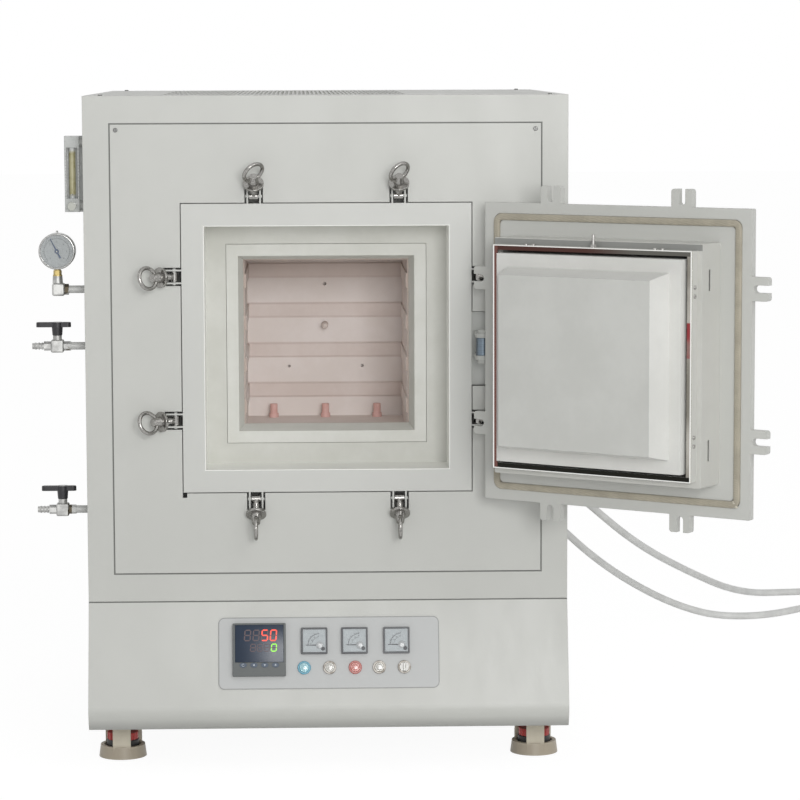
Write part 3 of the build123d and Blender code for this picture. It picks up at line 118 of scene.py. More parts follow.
class Value:
    """One number or colour that flows through a material, with arithmetic that adds nodes."""

    def __init__(self, graph: "Tree", socket: bpy.types.NodeSocket) -> None:
        """Wraps an output socket of a graph."""
        self.graph = graph
        self.socket = socket

    __add__ = __radd__ = _operator("ADD")
    __mul__ = __rmul__ = _operator("MULTIPLY")
    __sub__ = _operator("SUBTRACT")
    __rsub__ = _operator("SUBTRACT", swapped=True)
    __gt__ = _operator("GREATER_THAN")
    __lt__ = _operator("LESS_THAN")
    __abs__ = _operator("ABSOLUTE")

    def smooth(self, low: float, high: float) -> "Value":
        """Returns a soft step from 0 at low to 1 at high."""
        inputs = {"Value": self, "From Min": low, "From Max": high}
        return self.graph.node("ShaderNodeMapRange", {"interpolation_type": "SMOOTHSTEP"}, inputs).out()

    def near(self, middle: float, reach: float) -> "Value":
        """Returns 1 within a reach of a middle."""
        return abs(self - middle) < reach


class Node:
    """A shader node whose outputs are handed on as values."""

    def __init__(self, graph: "Tree", node: bpy.types.Node) -> None:
        """Wraps a node of a graph."""
        self.graph = graph
        self.raw = node

    def out(self, name: Union[str, int] = 0) -> Value:
        """Returns an output by name or place."""
        return Value(self.graph, self.raw.outputs[name])


class Tree:
    """The nodes of a material or of the world."""

    def __init__(self, owner: Union[Material, bpy.types.World], end: str) -> None:
        """Empties the owner's nodes and adds an output.

        Args:
            owner: The material or world.
            end: The output node's type.
        """
        owner.use_nodes = True
        self.tree = owner.node_tree
        self.tree.nodes.clear()
        self.end = self.node(end)

    def node(self, kind: str, settings: dict[str, Any] | None = None,
             inputs: dict[Any, Any] | None = None) -> Node:
        """Adds a node.

        Args:
            kind: The node's type.
            settings: Its settings.
            inputs: Its sockets' values or links, by name or place.

        Returns:
            The new node.
        """
        raw = self.tree.nodes.new(kind)
        for key, value in (settings or {}).items():
            setattr(raw, key, value)
        for key, value in (inputs or {}).items():
            self.feed(raw.inputs[key], value)
        return Node(self, raw)

    def feed(self, socket: bpy.types.NodeSocket, value: Any) -> None:
        """Links a value to a socket, or writes a constant into it."""
        if isinstance(value, Value):
            self.tree.links.new(value.socket, socket)
        elif isinstance(value, tuple) and socket.type == "RGBA":
            socket.default_value = (*value, 1.0)
        else:
            socket.default_value = value

    def show(self, factor: Value, first: Node, second: Node) -> None:
        """Sends a mix of two shaders to the output."""
        blend = self.node("ShaderNodeMixShader", None, {0: factor, 1: first.out(), 2: second.out()})
        self.feed(self.end.raw.inputs["Surface"], blend.out())

    def seen(self) -> Value:
        """Returns 1 for rays from the camera, off glossy faces and through clear ones."""
        rays = self.node("ShaderNodeLightPath")
        return rays.out("Is Camera Ray") + rays.out("Is Glossy Ray") + rays.out("Is Transmission Ray")


class Graph(Tree):
    """A material under construction: nodes, links and its Principled shader."""

    def __init__(self, name: str) -> None:
        """Makes an empty material with a Principled shader and an output."""
        self.material = bpy.data.materials.new(name)
        super().__init__(self.material, "ShaderNodeOutputMaterial")
        self.shader = self.node("ShaderNodeBsdfPrincipled")
        self.feed(self.end.raw.inputs["Surface"], self.shader.out())
        self._place = None

    def set(self, **inputs: Any) -> None:
        """Sets the Principled shader's sockets; an underscore in a name stands for a space."""
        for key, value in inputs.items():
            self.feed(self.shader.raw.inputs[key.replace("_", " ")], value)

    def place(self) -> Value:
        """Returns the place on the object in the row's frame."""
        if self._place is None:
            self._place = self.node("ShaderNodeTexCoord").out("Object")
        return self._place

    def part(self, axis: Axis3) -> Value:
        """Returns one coordinate of the place."""
        return self.node("ShaderNodeSeparateXYZ", None, {0: self.place()}).out(axis.value)

    def along(self, axis: Vector, start: Vector) -> Value:
        """Returns how far the place lies along an axis from a start."""
        settings = {"operation": "DOT_PRODUCT"}
        dot = self.node("ShaderNodeVectorMath", settings, {0: self.place(), 1: tuple(axis)})
        return dot.out(1) - axis.dot(start)

    def noise(self, scale: float, detail: float = 3.0, roughness: float = 0.5,
              stretch: Triple | None = None, turn: Triple = (0, 0, 0)) -> Value:
        """Adds fractal noise.

        Args:
            scale: How many features it has in a metre.
            detail: Its number of finer layers.
            roughness: How strong the finer layers are.
            stretch: The scale of each axis, for grain that runs one way.
            turn: The turn of the stretched axes.

        Returns:
            The noise, from 0 to 1.
        """
        at = self.place()
        if stretch:
            mapping = {"Vector": at, "Scale": stretch, "Rotation": turn}
            at = self.node("ShaderNodeMapping", None, mapping).out()
        inputs = {"Vector": at, "Scale": scale, "Detail": detail, "Roughness": roughness}
        return self.node("ShaderNodeTexNoise", None, inputs).out()

    def mix(self, factor: Any, first: Any, second: Any) -> Value:
        """Returns a blend of two colours."""
        node = self.node("ShaderNodeMix", {"data_type": "RGBA"})
        self.feed(node.raw.inputs["Factor"], factor)
        colours = [socket for socket in node.raw.inputs if socket.type == "RGBA"]
        self.feed(colours[0], first)
        self.feed(colours[1], second)
        return next(Value(self, socket) for socket in node.raw.outputs if socket.type == "RGBA")

    def mottle(self, cloud: Value, first: Colour, second: Colour, low: float = 0.35,
               high: float = 0.7) -> Value:
        """Returns two colours that change with a noise, between two of its levels."""
        return self.mix(cloud.smooth(low, high), first, second)

    def fibre(self) -> tuple[Value, Value]:
        """Returns the clouds and the specks of ceramic fibre."""
        return self.noise(9.0, 5.0, 0.65), self.noise(260.0, 3.0, 0.7)

    def close(self, tone: Any, rough: Value, height: Value, distance: float, strength: float = 0.6,
              edge: float = 0.0, **others: Any) -> Material:
        """Closes a material with its colour, roughness and normal.

        Args:
            tone: The colour.
            rough: The roughness.
            height: What stands out of the surface.
            distance: How far it stands out.
            strength: How strongly it shows.
            edge: The radius of softened edges.
            others: Further sockets of the Principled shader.

        Returns:
            The material.
        """
        inputs: dict[Any, Any] = {"Height": height, "Distance": distance, "Strength": strength}
        if edge > 0.0:
            inputs["Normal"] = self.node("ShaderNodeBevel", {"samples": 4}, {"Radius": edge}).out()
        normal = self.node("ShaderNodeBump", None, inputs).out()
        self.set(Base_Color=tone, Roughness=rough, Normal=normal, **others)
        return self.material

    def coat(self, tone: Value, rough: Value, scale: float = 900.0, distance: float = 0.00006,
             strength: float = 0.6, edge: float = 0.0012, **others: Any) -> Material:
        """Closes a material as close() does, with a fine noise that has scale features in a metre."""
        return self.close(tone, rough, self.noise(scale, 2.0), distance, strength, edge, **others)


def shade(colour: Colour, factor: float) -> Colour:
    """Returns a colour made lighter or darker."""
    return tuple(min(1.0, channel * factor) for channel in colour)


@dataclass(frozen=True)
class PaintFinish:
    """Powder coat on sheet metal, with a fine orange peel and faint handling marks."""

    name: str
    colour: Colour
    roughness: float

    def make(self) -> Material:
        """Returns the material."""
        graph = Graph(self.name)
        tone, smear = paint_tone(graph, self.colour)
        rough = smear.smooth(0.3, 0.7) * 0.1 + (self.roughness - 0.05)
        return graph.coat(tone, rough, Specular_IOR_Level=0.45)


def paint_tone(graph: Graph, colour: Colour) -> tuple[Value, Value]:
    """Returns the clouded and slightly soiled colour of a paint, and the noise of its handling marks."""
    smear = graph.noise(1.0, 3.0, 0.6, (14.0, 14.0, 3.0))
    tone = graph.mottle(graph.noise(3.0, 4.0, 0.6), shade(colour, 0.975), shade(colour, 1.02))
    return graph.mix(smear.smooth(0.62, 0.8) * 0.25, tone, shade(colour, 0.93)), smear


@dataclass(frozen=True)
class MetalFinish:
    """Bare or plated metal with a grain and a slightly uneven polish."""

    name: str
    colour: Colour
    roughness: float
    grain: Triple = (60.0, 60.0, 900.0)
    streak: float = 0.12

    def make(self) -> Material:
        """Returns the material."""
        graph = Graph(self.name)
        lines = graph.noise(1.0, 3.0, 0.6, self.grain)
        cloud = graph.noise(22.0, 3.0, 0.6)
        tone = graph.mottle(lines, shade(self.colour, 1.0 - 2.0 * self.streak), self.colour, 0.3)
        tone = graph.mix(cloud.smooth(0.45, 0.75) * 0.5, tone, shade(self.colour, 1.0 - self.streak))
        rough = lines * 0.1 + cloud * 0.1 + (self.roughness - 0.1)
        return graph.close(tone, rough, lines, 0.00002, 0.5, 0.0006, Metallic=1.0)


@dataclass(frozen=True)
class PlasticFinish:
    """Moulded plastic or rubber with a fine texture."""

    name: str
    colour: Colour
    roughness: float = 0.4
    grain: float = 1400.0
    depth: float = 0.00003
    coat: float = 0.0
    shine: float = 0.5
    edge: float = 0.0005

    def make(self) -> Material:
        """Returns the material."""
        graph = Graph(self.name)
        cloud = graph.noise(30.0, 4.0, 0.6)
        tone = graph.mottle(cloud, shade(self.colour, 0.9), shade(self.colour, 1.06), 0.3, 0.75)
        rough = cloud * 0.14 + (self.roughness - 0.07)
        return graph.coat(tone, rough, self.grain, self.depth, edge=self.edge, Coat_Weight=self.coat,
                          Specular_IOR_Level=self.shine)


@dataclass(frozen=True)
class FibreFinish:
    """Vacuum-formed ceramic fibre: chalky, mottled, with fine fibres and small pits."""

    name: str
    colour: Colour
    tint: Colour

    def make(self) -> Material:
        """Returns the material."""
        graph = Graph(self.name)
        cloud, specks = graph.fibre()
        strands = graph.noise(1.0, 4.0, 0.7, (240.0, 240.0, 900.0), (0.4, 0.3, 0.9))
        tone = graph.mottle(cloud, self.colour, self.tint)
        tone = graph.mix(specks.smooth(0.66, 0.78) * 0.35, tone, shade(self.tint, 0.82))
        return graph.close(tone, specks * 0.08 + 0.88, strands * 0.6 + specks * 0.5, 0.00035, 0.5, 0.0015,
                           Specular_IOR_Level=0.15)


@dataclass(frozen=True)
class LitFinish:
    """The glow of a display's segments."""

    name: str
    colour: Colour
    strength: float

    def make(self) -> Material:
        """Returns the material."""
        graph = Graph(self.name)
        glow = graph.mix(graph.noise(4000.0, 1.0) * 0.2, self.colour, shade(self.colour, 0.85))
        graph.set(Base_Color=shade(self.colour, 0.4), Emission_Color=glow, Emission_Strength=self.strength,
                  Roughness=0.4)
        return graph.material


@dataclass(frozen=True)
class GlassFinish:
    """A clear glossy sheet, a little dusty, through which what lies behind shows."""

    name: str
    colour: Colour
    alpha: float

    def make(self) -> Material:
        """Returns the material."""
        graph = Graph(self.name)
        dust = graph.noise(40.0, 4.0, 0.6)
        graph.set(Base_Color=self.colour, Roughness=dust * 0.05 + 0.20,
                  Alpha=dust.smooth(0.3, 0.8) * 0.04 + self.alpha)
        return graph.material


@dataclass(frozen=True)
class BraidFinish:
    """Braided glass cord, seen as small crossing strands."""

    name: str = "gasket_braid"
    colour: Colour = (0.44, 0.405, 0.325)

    def make(self) -> Material:
        """Returns the material."""
        graph = Graph(self.name)
        one = graph.node("ShaderNodeTexWave", {"wave_type": "BANDS", "bands_direction": "DIAGONAL"},
                         {"Vector": graph.place(), "Scale": 160.0, "Distortion": 1.5}).out(1)
        cloud = graph.noise(25.0, 4.0, 0.6)
        tone = graph.mottle(cloud, shade(self.colour, 0.86), shade(self.colour, 1.1), 0.3)
        tone = graph.mix((1.0 - one) * 0.35, tone, shade(self.colour, 0.7))
        return graph.close(tone, cloud * 0.1 + 0.82, one, 0.0004, 0.7, Sheen_Weight=0.25,
                           Specular_IOR_Level=0.2)


INK = PlasticFinish("dial_ink", (0.05, 0.05, 0.055), 0.55)
PANE = GlassFinish("window_glass", (0.85, 0.9, 0.92), 0.05)
CLAMP_STEEL = MetalFinish("clamp_steel", (0.42, 0.41, 0.39), 0.2, (500.0, 500.0, 500.0), 0.25)
HOSE_NICKEL = MetalFinish("nickel_fitting", (0.70, 0.70, 0.68), 0.34, (120.0, 120.0, 400.0), 0.12)
HOSE_RUBBER = PlasticFinish("hose_rubber", (0.83, 0.835, 0.815), 0.42, 300.0, 0.00008, edge=0.0)
FAMILY_FINISHES = {
    "bolt_": CLAMP_STEEL,
    "wheel_": PlasticFinish("wheel_nylon", (0.045, 0.045, 0.045), 0.45),
    "valve_handle": PlasticFinish("handle_black", (0.022, 0.022, 0.025), 0.36),
}
NODE_FINISHES = {
    "door_plate": PaintFinish("door_paint", (0.565, 0.57, 0.54), 0.36),
    "insulation_boards": FibreFinish("insulation", (0.62, 0.62, 0.575), (0.67, 0.67, 0.63)),
    "fibre_collar": FibreFinish("collar_fibre", (0.68, 0.68, 0.635), (0.74, 0.74, 0.70)),
    "heating_elements": PlasticFinish("element", (0.22, 0.22, 0.23), 0.6),
    "door_screws": MetalFinish("screw_steel", (0.52, 0.51, 0.49), 0.3, streak=0.2),
    "case_screws": MetalFinish("case_screw_steel", (0.20, 0.20, 0.195), 0.4, streak=0.2),
    "hinge_arm": MetalFinish("arm_steel", (0.17, 0.21, 0.25), 0.36),
    "gauge_case": MetalFinish("gauge_steel", (0.50, 0.50, 0.49), 0.24, streak=0.2),
    "flowmeter_knob": PlasticFinish("knob_clear", (0.53, 0.54, 0.49), 0.2, coat=0.5),
    "gauge_needle": PlasticFinish("needle_blue", (0.03, 0.06, 0.14), 0.4),
    "panel_meters": PlasticFinish("meter_frame", (0.028, 0.030, 0.036), 0.36),
    "button_cyan": PlasticFinish("cap_cyan", (0.30, 0.62, 0.70), 0.22, coat=0.6),
    "button_start": PlasticFinish("cap_clear", (0.60, 0.58, 0.54), 0.22, coat=0.6),
    "button_run": PlasticFinish("cap_clear_b", (0.62, 0.59, 0.53), 0.22, coat=0.6),
    "button_red": PlasticFinish("cap_red", (0.62, 0.20, 0.17), 0.22, coat=0.6),
    "selector_switch": PlasticFinish("selector_grey", (0.42, 0.41, 0.38), 0.28, coat=0.4),
    "power_supply": PlasticFinish("core_grey", (0.10, 0.10, 0.11), 0.5, 400.0),
}


class Finishes:
    """All finishes, each made once when first asked for."""

    def __init__(self) -> None:
        """Makes an empty store."""
        self._made: dict[str, Material] = {}

    def get(self, name: str, make: Callable[[], Material]) -> Material:
        """Returns a finish by name, making it the first time."""
        if name not in self._made:
            self._made[name] = make()
        return self._made[name]

    def use(self, finish: Any) -> Material:
        """Returns the material of a finish that carries its name."""
        return self.get(finish.name, finish.make)


class Cabinet:
    """Where the cabinet's own frame lies in the row's frame."""

    def __init__(self) -> None:
        """Reads the place from the upper shell's box."""
        low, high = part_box("upper_shell")
        self.origin = Vector(((low[0] + high[0]) / 2, low[1], 0.0))

    def at(self, x: float, y: float, z: float) -> Vector:
        """Returns a place given in millimetres of the cabinet's frame."""
        return self.origin + Vector((x, y, z)) * MM

    def across(self, x: float) -> float:
        """Returns the row's X of a place given in millimetres of the cabinet's frame."""
        return self.at(x, 0.0, 0.0).x


def shift(x: float, y: float, z: float) -> Matrix:
    """Returns a move in metres."""
    return Matrix.Translation((x, y, z))


def polar(radius: float, degrees: float) -> Pair:
    """Returns a flat point at a radius and angle."""
    angle = math.radians(degrees)
    return radius * math.cos(angle), radius * math.sin(angle)


def face_matrix(origin: Vector, normal: Vector, up: Vector) -> Matrix:
    """Returns the frame of a face: Z along its normal, Y up on it."""
    z = normal.normalized()
    x = up.cross(z).normalized()
    matrix = Matrix((x, z.cross(x), z)).transposed().to_4x4()
    matrix.translation = origin
    return matrix


def add_slab(mesh: BMesh, place: Matrix, size: Triple, bevel: float = 0.0) -> None:
    """Adds a bevelled box centred on a place.

    Args:
        mesh: The mesh to add to.
        place: The box's middle and turn.
        size: Its edges in metres.
        bevel: The width of its bevels.
    """
    made = bmesh.ops.create_cube(mesh, size=1.0, matrix=place @ Matrix.Diagonal((*size, 1.0)))
    if bevel > 0.0:
        edges = list({edge for vert in made["verts"] for edge in vert.link_edges})
        bmesh.ops.bevel(mesh, geom=edges, offset=bevel, segments=2, profile=0.7, affect="EDGES")


def add_rings(mesh: BMesh, rings: Sequence[Sequence[bmesh.types.BMVert]], closed: bool) -> None:
    """Joins rings of points with faces.

    Args:
        mesh: The mesh to add to.
        rings: Rings with as many points each.
        closed: Whether the last ring joins the first; otherwise both ends are capped.
    """
    for lower, upper in zip(rings, [*rings[1:], rings[0]] if closed else rings[1:]):
        for index, point in enumerate(lower):
            after = (index + 1) % len(lower)
            mesh.faces.new((point, lower[after], upper[after], upper[index]))
    if not closed:
        mesh.faces.new(rings[0][::-1])
        mesh.faces.new(rings[-1])


def add_disc(mesh: BMesh, place: Matrix, radii: Sequence[Pair], sides: int = 48) -> None:
    """Adds a turned shape, closed at both ends.

    Args:
        mesh: The mesh to add to.
        place: Its start, with its axis along Z.
        radii: Pairs of radius and height in millimetres.
        sides: How many sides it has.
    """
    rings = []
    for radius, height in radii:
        points = (polar(radius, 360.0 * index / sides) for index in range(sides))
        rings.append([mesh.verts.new(place @ (Vector((x, y, height)) * MM)) for x, y in points])
    add_rings(mesh, rings, False)


def add_flat(mesh: BMesh, place: Matrix, points: Sequence[Pair], thickness: float) -> None:
    """Adds a flat plate.

    Args:
        mesh: The mesh to add to.
        place: Its plane, as X and Y of this frame.
        points: Its outline in millimetres.
        thickness: Its thickness in metres.
    """
    outline = [Vector((x, y, 0.0)) * MM for x, y in points]
    lift = Vector((0.0, 0.0, thickness))
    add_rings(mesh, [[mesh.verts.new(place @ (point + rise)) for point in outline]
                     for rise in (lift * 0.0, lift)], False)


def add_arc(mesh: BMesh, place: Matrix, radius: float, width: float, start: float,
            stop: float, thickness: float, steps: int = 24) -> None:
    """Adds a flat arc band about the place's Z.

    Args:
        mesh: The mesh to add to.
        place: Its middle.
        radius: Its middle radius in millimetres.
        width: Its width in millimetres.
        start: Where it starts, in degrees.
        stop: Where it stops, in degrees.
        thickness: Its thickness in metres.
        steps: How many straight pieces it has.
    """
    angles = [start + (stop - start) * index / steps for index in range(steps + 1)]
    outer = [polar(radius + width / 2, angle) for angle in angles]
    inner = [polar(radius - width / 2, angle) for angle in reversed(angles)]
    add_flat(mesh, place, outer + inner, thickness)


@dataclass
class Assembly:
    """What every sub-assembly of the furnace needs: the cabinet's place and the store of finishes."""

    cabinet: Cabinet
    finishes: Finishes

    def piece(self, name: str, mesh: BMesh, finish: Any, body: str = "root",
              smooth: bool = False) -> bpy.types.Object:
        """Turns a mesh into a piece that rides on a body.

        Args:
            name: The piece's name.
            mesh: Its mesh, in the row's frame.
            finish: Its finish.
            body: The body that carries it.
            smooth: Whether its faces are shaded smooth, with sharp edges kept.

        Returns:
            The piece.
        """
        bmesh.ops.recalc_face_normals(mesh, faces=mesh.faces)
        data = bpy.data.meshes.new(name)
        mesh.to_mesh(data)
        mesh.free()
        if smooth:
            data.shade_smooth()
            data.set_sharp_from_angle(angle=math.radians(35.0))
        return self.carried(name, data, finish, body)

    def carried(self, name: str, data: Any, finish: Any, body: str = "root") -> bpy.types.Object:
        """Returns a new object with a finish, carried by a body."""
        data.materials.append(self.finishes.use(finish))
        piece = bpy.data.objects.new(name, data)
        bpy.context.scene.collection.objects.link(piece)
        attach(piece, body)
        return piece

    def number(self, name: str, text: str, place: Matrix, height: float) -> None:
        """Adds a printed number.

        Args:
            name: The piece's name.
            text: The number.
            place: Its middle.
            height: Its height in millimetres.
        """
        curve = bpy.data.curves.new(name, "FONT")
        curve.body = text
        curve.size = height * MM
        curve.extrude = 0.00005
        curve.align_x = "CENTER"
        curve.align_y = "CENTER"
        self.carried(name, curve, INK).matrix_world = place


SEGMENTS = {"": "", "0": "abcdef", "5": "afgcd"}


@dataclass
class SevenSegment:
    """A digit of a seven-segment display, drawn on a face in millimetres."""

    width: float
    height: float
    stroke: float
    lean: float = 0.08
    gap: float = 0.35

    def add(self, mesh: BMesh, place: Matrix, letters: str) -> None:
        """Adds the lettered segments as slim six-sided bars.

        Args:
            mesh: The mesh to add to.
            place: The digit's middle on the display, Z outward.
            letters: Which of the segments a to g to add.
        """
        half_w = self.width / 2 - self.stroke / 2
        half_h = self.height / 2 - self.stroke / 2
        corners = {
            "a": ((-half_w, half_h), (half_w, half_h)), "b": ((half_w, half_h), (half_w, 0)),
            "c": ((half_w, 0), (half_w, -half_h)), "d": ((-half_w, -half_h), (half_w, -half_h)),
            "e": ((-half_w, 0), (-half_w, -half_h)), "f": ((-half_w, half_h), (-half_w, 0)),
            "g": ((-half_w, 0), (half_w, 0)),
        }
        for letter in letters:
            start, end = (Vector(point) for point in corners[letter])
            along = (end - start).normalized()
            across = Vector((-along.y, along.x)) * self.stroke / 2
            taper = along * self.stroke / 2
            start, end = start + along * self.gap, end - along * self.gap
            outline = [start, start + taper - across, end - taper - across,
                       end, end - taper + across, start + taper + across]
            add_flat(mesh, place, [(p.x + p.y * self.lean, p.y) for p in outline], 0.00006)


@dataclass
class ControlPanel(Assembly):
    """The instruments on the sloping front of the base."""

    plate: float = 1.5
    controller: Pair = (-126.0, 89.0)
    controller_proud: float = 9.0
    display: Triple = (87.4, 67.4, 11.0)
    digit_rows: tuple[tuple[Triple, str, LitFinish, Triple], ...] = (
        ((12.6, 21.0, 2.3), "50", LitFinish("digit_red", (1.0, 0.075, 0.035), 1.1), (25.6, 25.8, 15.6)),
        ((10.6, 14.6, 1.8), "0", LitFinish("digit_green", (0.32, 0.95, 0.035), 0.95), (26.4, 3.4, 12.6)),
    )
    key_drop: float = 28.0
    key_pitch: float = 19.5
    key_turns: tuple[float, ...] = (0.0, 180.0, 270.0, 90.0)
    meters: tuple[float, ...] = (-26.5, 46.5, 122.5)
    meter_drop: float = 73.5
    meter_face: float = 41.4
    meter_floor: float = 4.5
    meter_pivot: Pair = (9.5, -8.0)
    meter_stud: Pair = (16.0, 14.6)
    meter_glass: float = 5.8
    scale_radius: float = 20.5
    button_drop: float = 122.0
    buttons: tuple[tuple[str, float, str, Colour], ...] = (
        ("button_cyan", -45.0, "lens_cyan", (0.40, 0.66, 0.72)),
        ("button_start", 1.0, "lens_clear", (0.58, 0.57, 0.53)),
        ("button_red", 47.5, "lens_red", (0.58, 0.22, 0.19)),
        ("button_run", 91.0, "lens_clear", (0.58, 0.57, 0.53)),
    )

    def spot(self, u: float, drop: float, level: float) -> Matrix:
        """Returns a place on the slope.

        Args:
            u: Millimetres to the right of the middle.
            drop: Millimetres down the slope.
            level: Millimetres above the base's sheet.

        Returns:
            The place, with Z outward and Y up the slope.
        """
        normal = Vector((0.0, -math.cos(SLOPE), math.sin(SLOPE)))
        up = Vector((0.0, math.sin(SLOPE), math.cos(SLOPE)))
        origin = self.cabinet.at(u, 0.0, SEAM_Z / MM) - up * drop * MM + normal * level * MM
        return face_matrix(origin, normal, up)

    def build(self) -> None:
        """Builds every instrument's face."""
        front = self.plate + self.controller_proud
        self._display(front)
        self._key_marks(front)
        for index, u in enumerate(self.meters):
            self._meter(index, u)
        for body, u, name, colour in self.buttons:
            self._lens(body, u, PlasticFinish(name, colour, 0.14, coat=0.8))

    def _display(self, front: float) -> None:
        """Builds the display window and its lit and unlit digits.

        Args:
            front: The level of the controller's front in millimetres.
        """
        u, drop = self.controller
        width, height, lift = self.display
        window = bmesh.new()
        add_slab(window, self.spot(u, drop - lift, front - 0.6), (width * MM, height * MM, 0.0008), 0.0003)
        self.piece("controller_display", window,
                   PlasticFinish("display_window", (0.016, 0.030, 0.058), 0.22, shine=0.3), smooth=True)
        dim = PlasticFinish("digit_dim", (0.060, 0.028, 0.036), 0.35)
        for row, (style, text, finish, (right, rise, pitch)) in enumerate(self.digit_rows):
            digit = SevenSegment(*style)
            lit, unlit = bmesh.new(), bmesh.new()
            for place in range(4):
                spot = self.spot(u + right - place * pitch, drop - rise, front - 0.17)
                letters = SEGMENTS[text[-1 - place] if place < len(text) else ""]
                digit.add(lit, spot, letters)
                digit.add(unlit, spot, "".join(sorted(set("abcdefg") - set(letters))))
            self.piece(f"digits_lit_{row}", lit, finish)
            self.piece(f"digits_unlit_{row}", unlit, dim)

    def _key_marks(self, front: float) -> None:
        """Builds the plain marks on the four keys: an open ring and three arrows."""
        u, drop = self.controller
        marks = bmesh.new()
        for index, turn in enumerate(self.key_turns):
            spot = self.spot(u + (index - 1.5) * self.key_pitch, drop + self.key_drop, front + 0.82)
            if index == 0:
                add_arc(marks, spot, 2.2, 0.7, 40.0, 330.0, 0.00008)
            else:
                add_flat(marks, spot, [polar(2.3, turn + 120.0 * step) for step in range(3)], 0.00008)
        self.piece("controller_key_marks", marks, PlasticFinish("key_mark", (0.55, 0.60, 0.65), 0.4))

    def _meter(self, index: int, u: float) -> None:
        """Builds a meter's dial, scale, pointer, boss, stud and glass.

        Args:
            index: The meter's number.
            u: Its place to the right of the middle in millimetres.
        """
        floor = self.plate + self.meter_floor
        face = (self.meter_face * MM, self.meter_face * MM, 0.0003)
        dial, scale, needle, boss, stud, glass = (bmesh.new() for _ in range(6))
        add_slab(dial, self.spot(u, self.meter_drop, floor + 0.2), face)
        self.piece(f"meter_dial_{index}", dial, PlasticFinish("dial_paper", (0.45, 0.485, 0.50), 0.6, 700.0))
        px, py = self.meter_pivot
        pivot = self.spot(u + px, self.meter_drop - py, floor + 0.4)
        add_arc(scale, pivot, self.scale_radius, 0.7, 93.0, 178.0, 0.00006)
        add_arc(scale, pivot, 14.5, 0.5, 100.0, 170.0, 0.00006)
        for step in range(21):
            turn = Matrix.Rotation(math.radians(93.0 + 85.0 * step / 20), 4, "Z")
            length = (3.0 if step % 5 == 0 else 1.6) * MM
            middle = self.scale_radius * MM + length / 2
            add_slab(scale, pivot @ turn @ shift(middle, 0, 0.00004), (length, 0.55 * MM, 0.00008))
        self.piece(f"meter_scale_{index}", scale, INK)
        for step, text in enumerate(("60", "40", "20", "0")):
            x, y = polar(16.5 * MM, 98.0 + 74.0 * step / 3)
            self.number(f"meter_number_{index}_{step}", text, pivot @ shift(x, y, 0.0), 3.0)
        add_flat(needle, pivot @ shift(0, 0, 0.0006),
                 [(-25.0, 0.45), (-25.0, -0.45), (4.0, -1.1), (4.0, 1.1)], 0.0002)
        self.piece(f"meter_pointer_{index}", needle, INK)
        add_disc(boss, pivot, [(6.4, 0.0), (6.4, 0.7), (5.6, 1.0), (2.0, 1.0)])
        self.piece(f"meter_boss_{index}", boss,
                   PlasticFinish("meter_boss", (0.40, 0.415, 0.42), 0.25, coat=0.3), smooth=True)
        sx, sy = self.meter_stud
        add_disc(stud, self.spot(u + sx, self.meter_drop + sy, floor + 0.35),
                 [(3.6, 0.0), (3.6, 0.8), (3.0, 1.05), (0.8, 1.05)])
        self.piece(f"meter_stud_{index}", stud, INK, smooth=True)
        add_slab(glass, self.spot(u, self.meter_drop, self.plate + self.meter_glass), face)
        self.piece(f"meter_glass_{index}", glass, PANE)

    def _lens(self, body: str, u: float, finish: PlasticFinish) -> None:
        """Builds the ribbed lens on a push button."""
        lens = bmesh.new()
        place = self.spot(u, self.button_drop, self.plate + 6.9)
        add_disc(lens, place, [(6.6, 0.0), (6.5, 0.35), (5.4, 0.75), (3.0, 0.95), (0.6, 1.0)])
        for spoke in range(3):
            turn = Matrix.Rotation(math.radians(45.0 + 60.0 * spoke), 4, "Z")
            add_slab(lens, place @ turn @ shift(0, 0, 0.0008), (9.0 * MM, 0.5 * MM, 0.0006))
        self.piece(f"lens_{body}", lens, finish, body, True)


@dataclass
class PressureGauge(Assembly):
    """The dial, scale and glass of the gauge on the left side."""

    centre: Triple = (-487.0, 50.0, 941.0)
    dial_radius: float = 29.6
    scale_radius: float = 23.0
    number_radius: float = 17.5
    glass_level: float = 3.6

    def build(self) -> None:
        """Builds the dial, its ink and its glass."""
        base = face_matrix(self.cabinet.at(*self.centre), FRONT, UP)
        printed = base @ shift(0, 0, 0.00031)
        dial, scale, glass = (bmesh.new() for _ in range(3))
        add_disc(dial, base, [(self.dial_radius, 0.0), (self.dial_radius, 0.3)], 64)
        self.piece("gauge_dial", dial, PlasticFinish("gauge_paper", (0.42, 0.44, 0.44), 0.55, 700.0))
        add_arc(scale, printed, self.scale_radius, 0.5, -45.0, 225.0, 0.00006, 60)
        for step in range(31):
            length = (4.0 if step % 5 == 0 else 2.2) * MM
            turn = Matrix.Rotation(math.radians(225.0 - 9.0 * step), 4, "Z")
            place = printed @ turn @ shift(self.scale_radius * MM + length / 2, 0, 0.00004)
            add_slab(scale, place, (length, 0.4 * MM, 0.00008))
        self.piece("gauge_scale", scale, INK)
        for step in range(7):
            x, y = polar(self.number_radius * MM, 225.0 - 45.0 * step)
            self.number(f"gauge_number_{step}", str(step), printed @ shift(x, y, 0.0), 4.6)
        add_disc(glass, base @ shift(0, 0, self.glass_level * MM),
                 [(self.dial_radius, 0.0), (self.dial_radius, 0.4)], 64)
        self.piece("gauge_glass", glass, PANE)


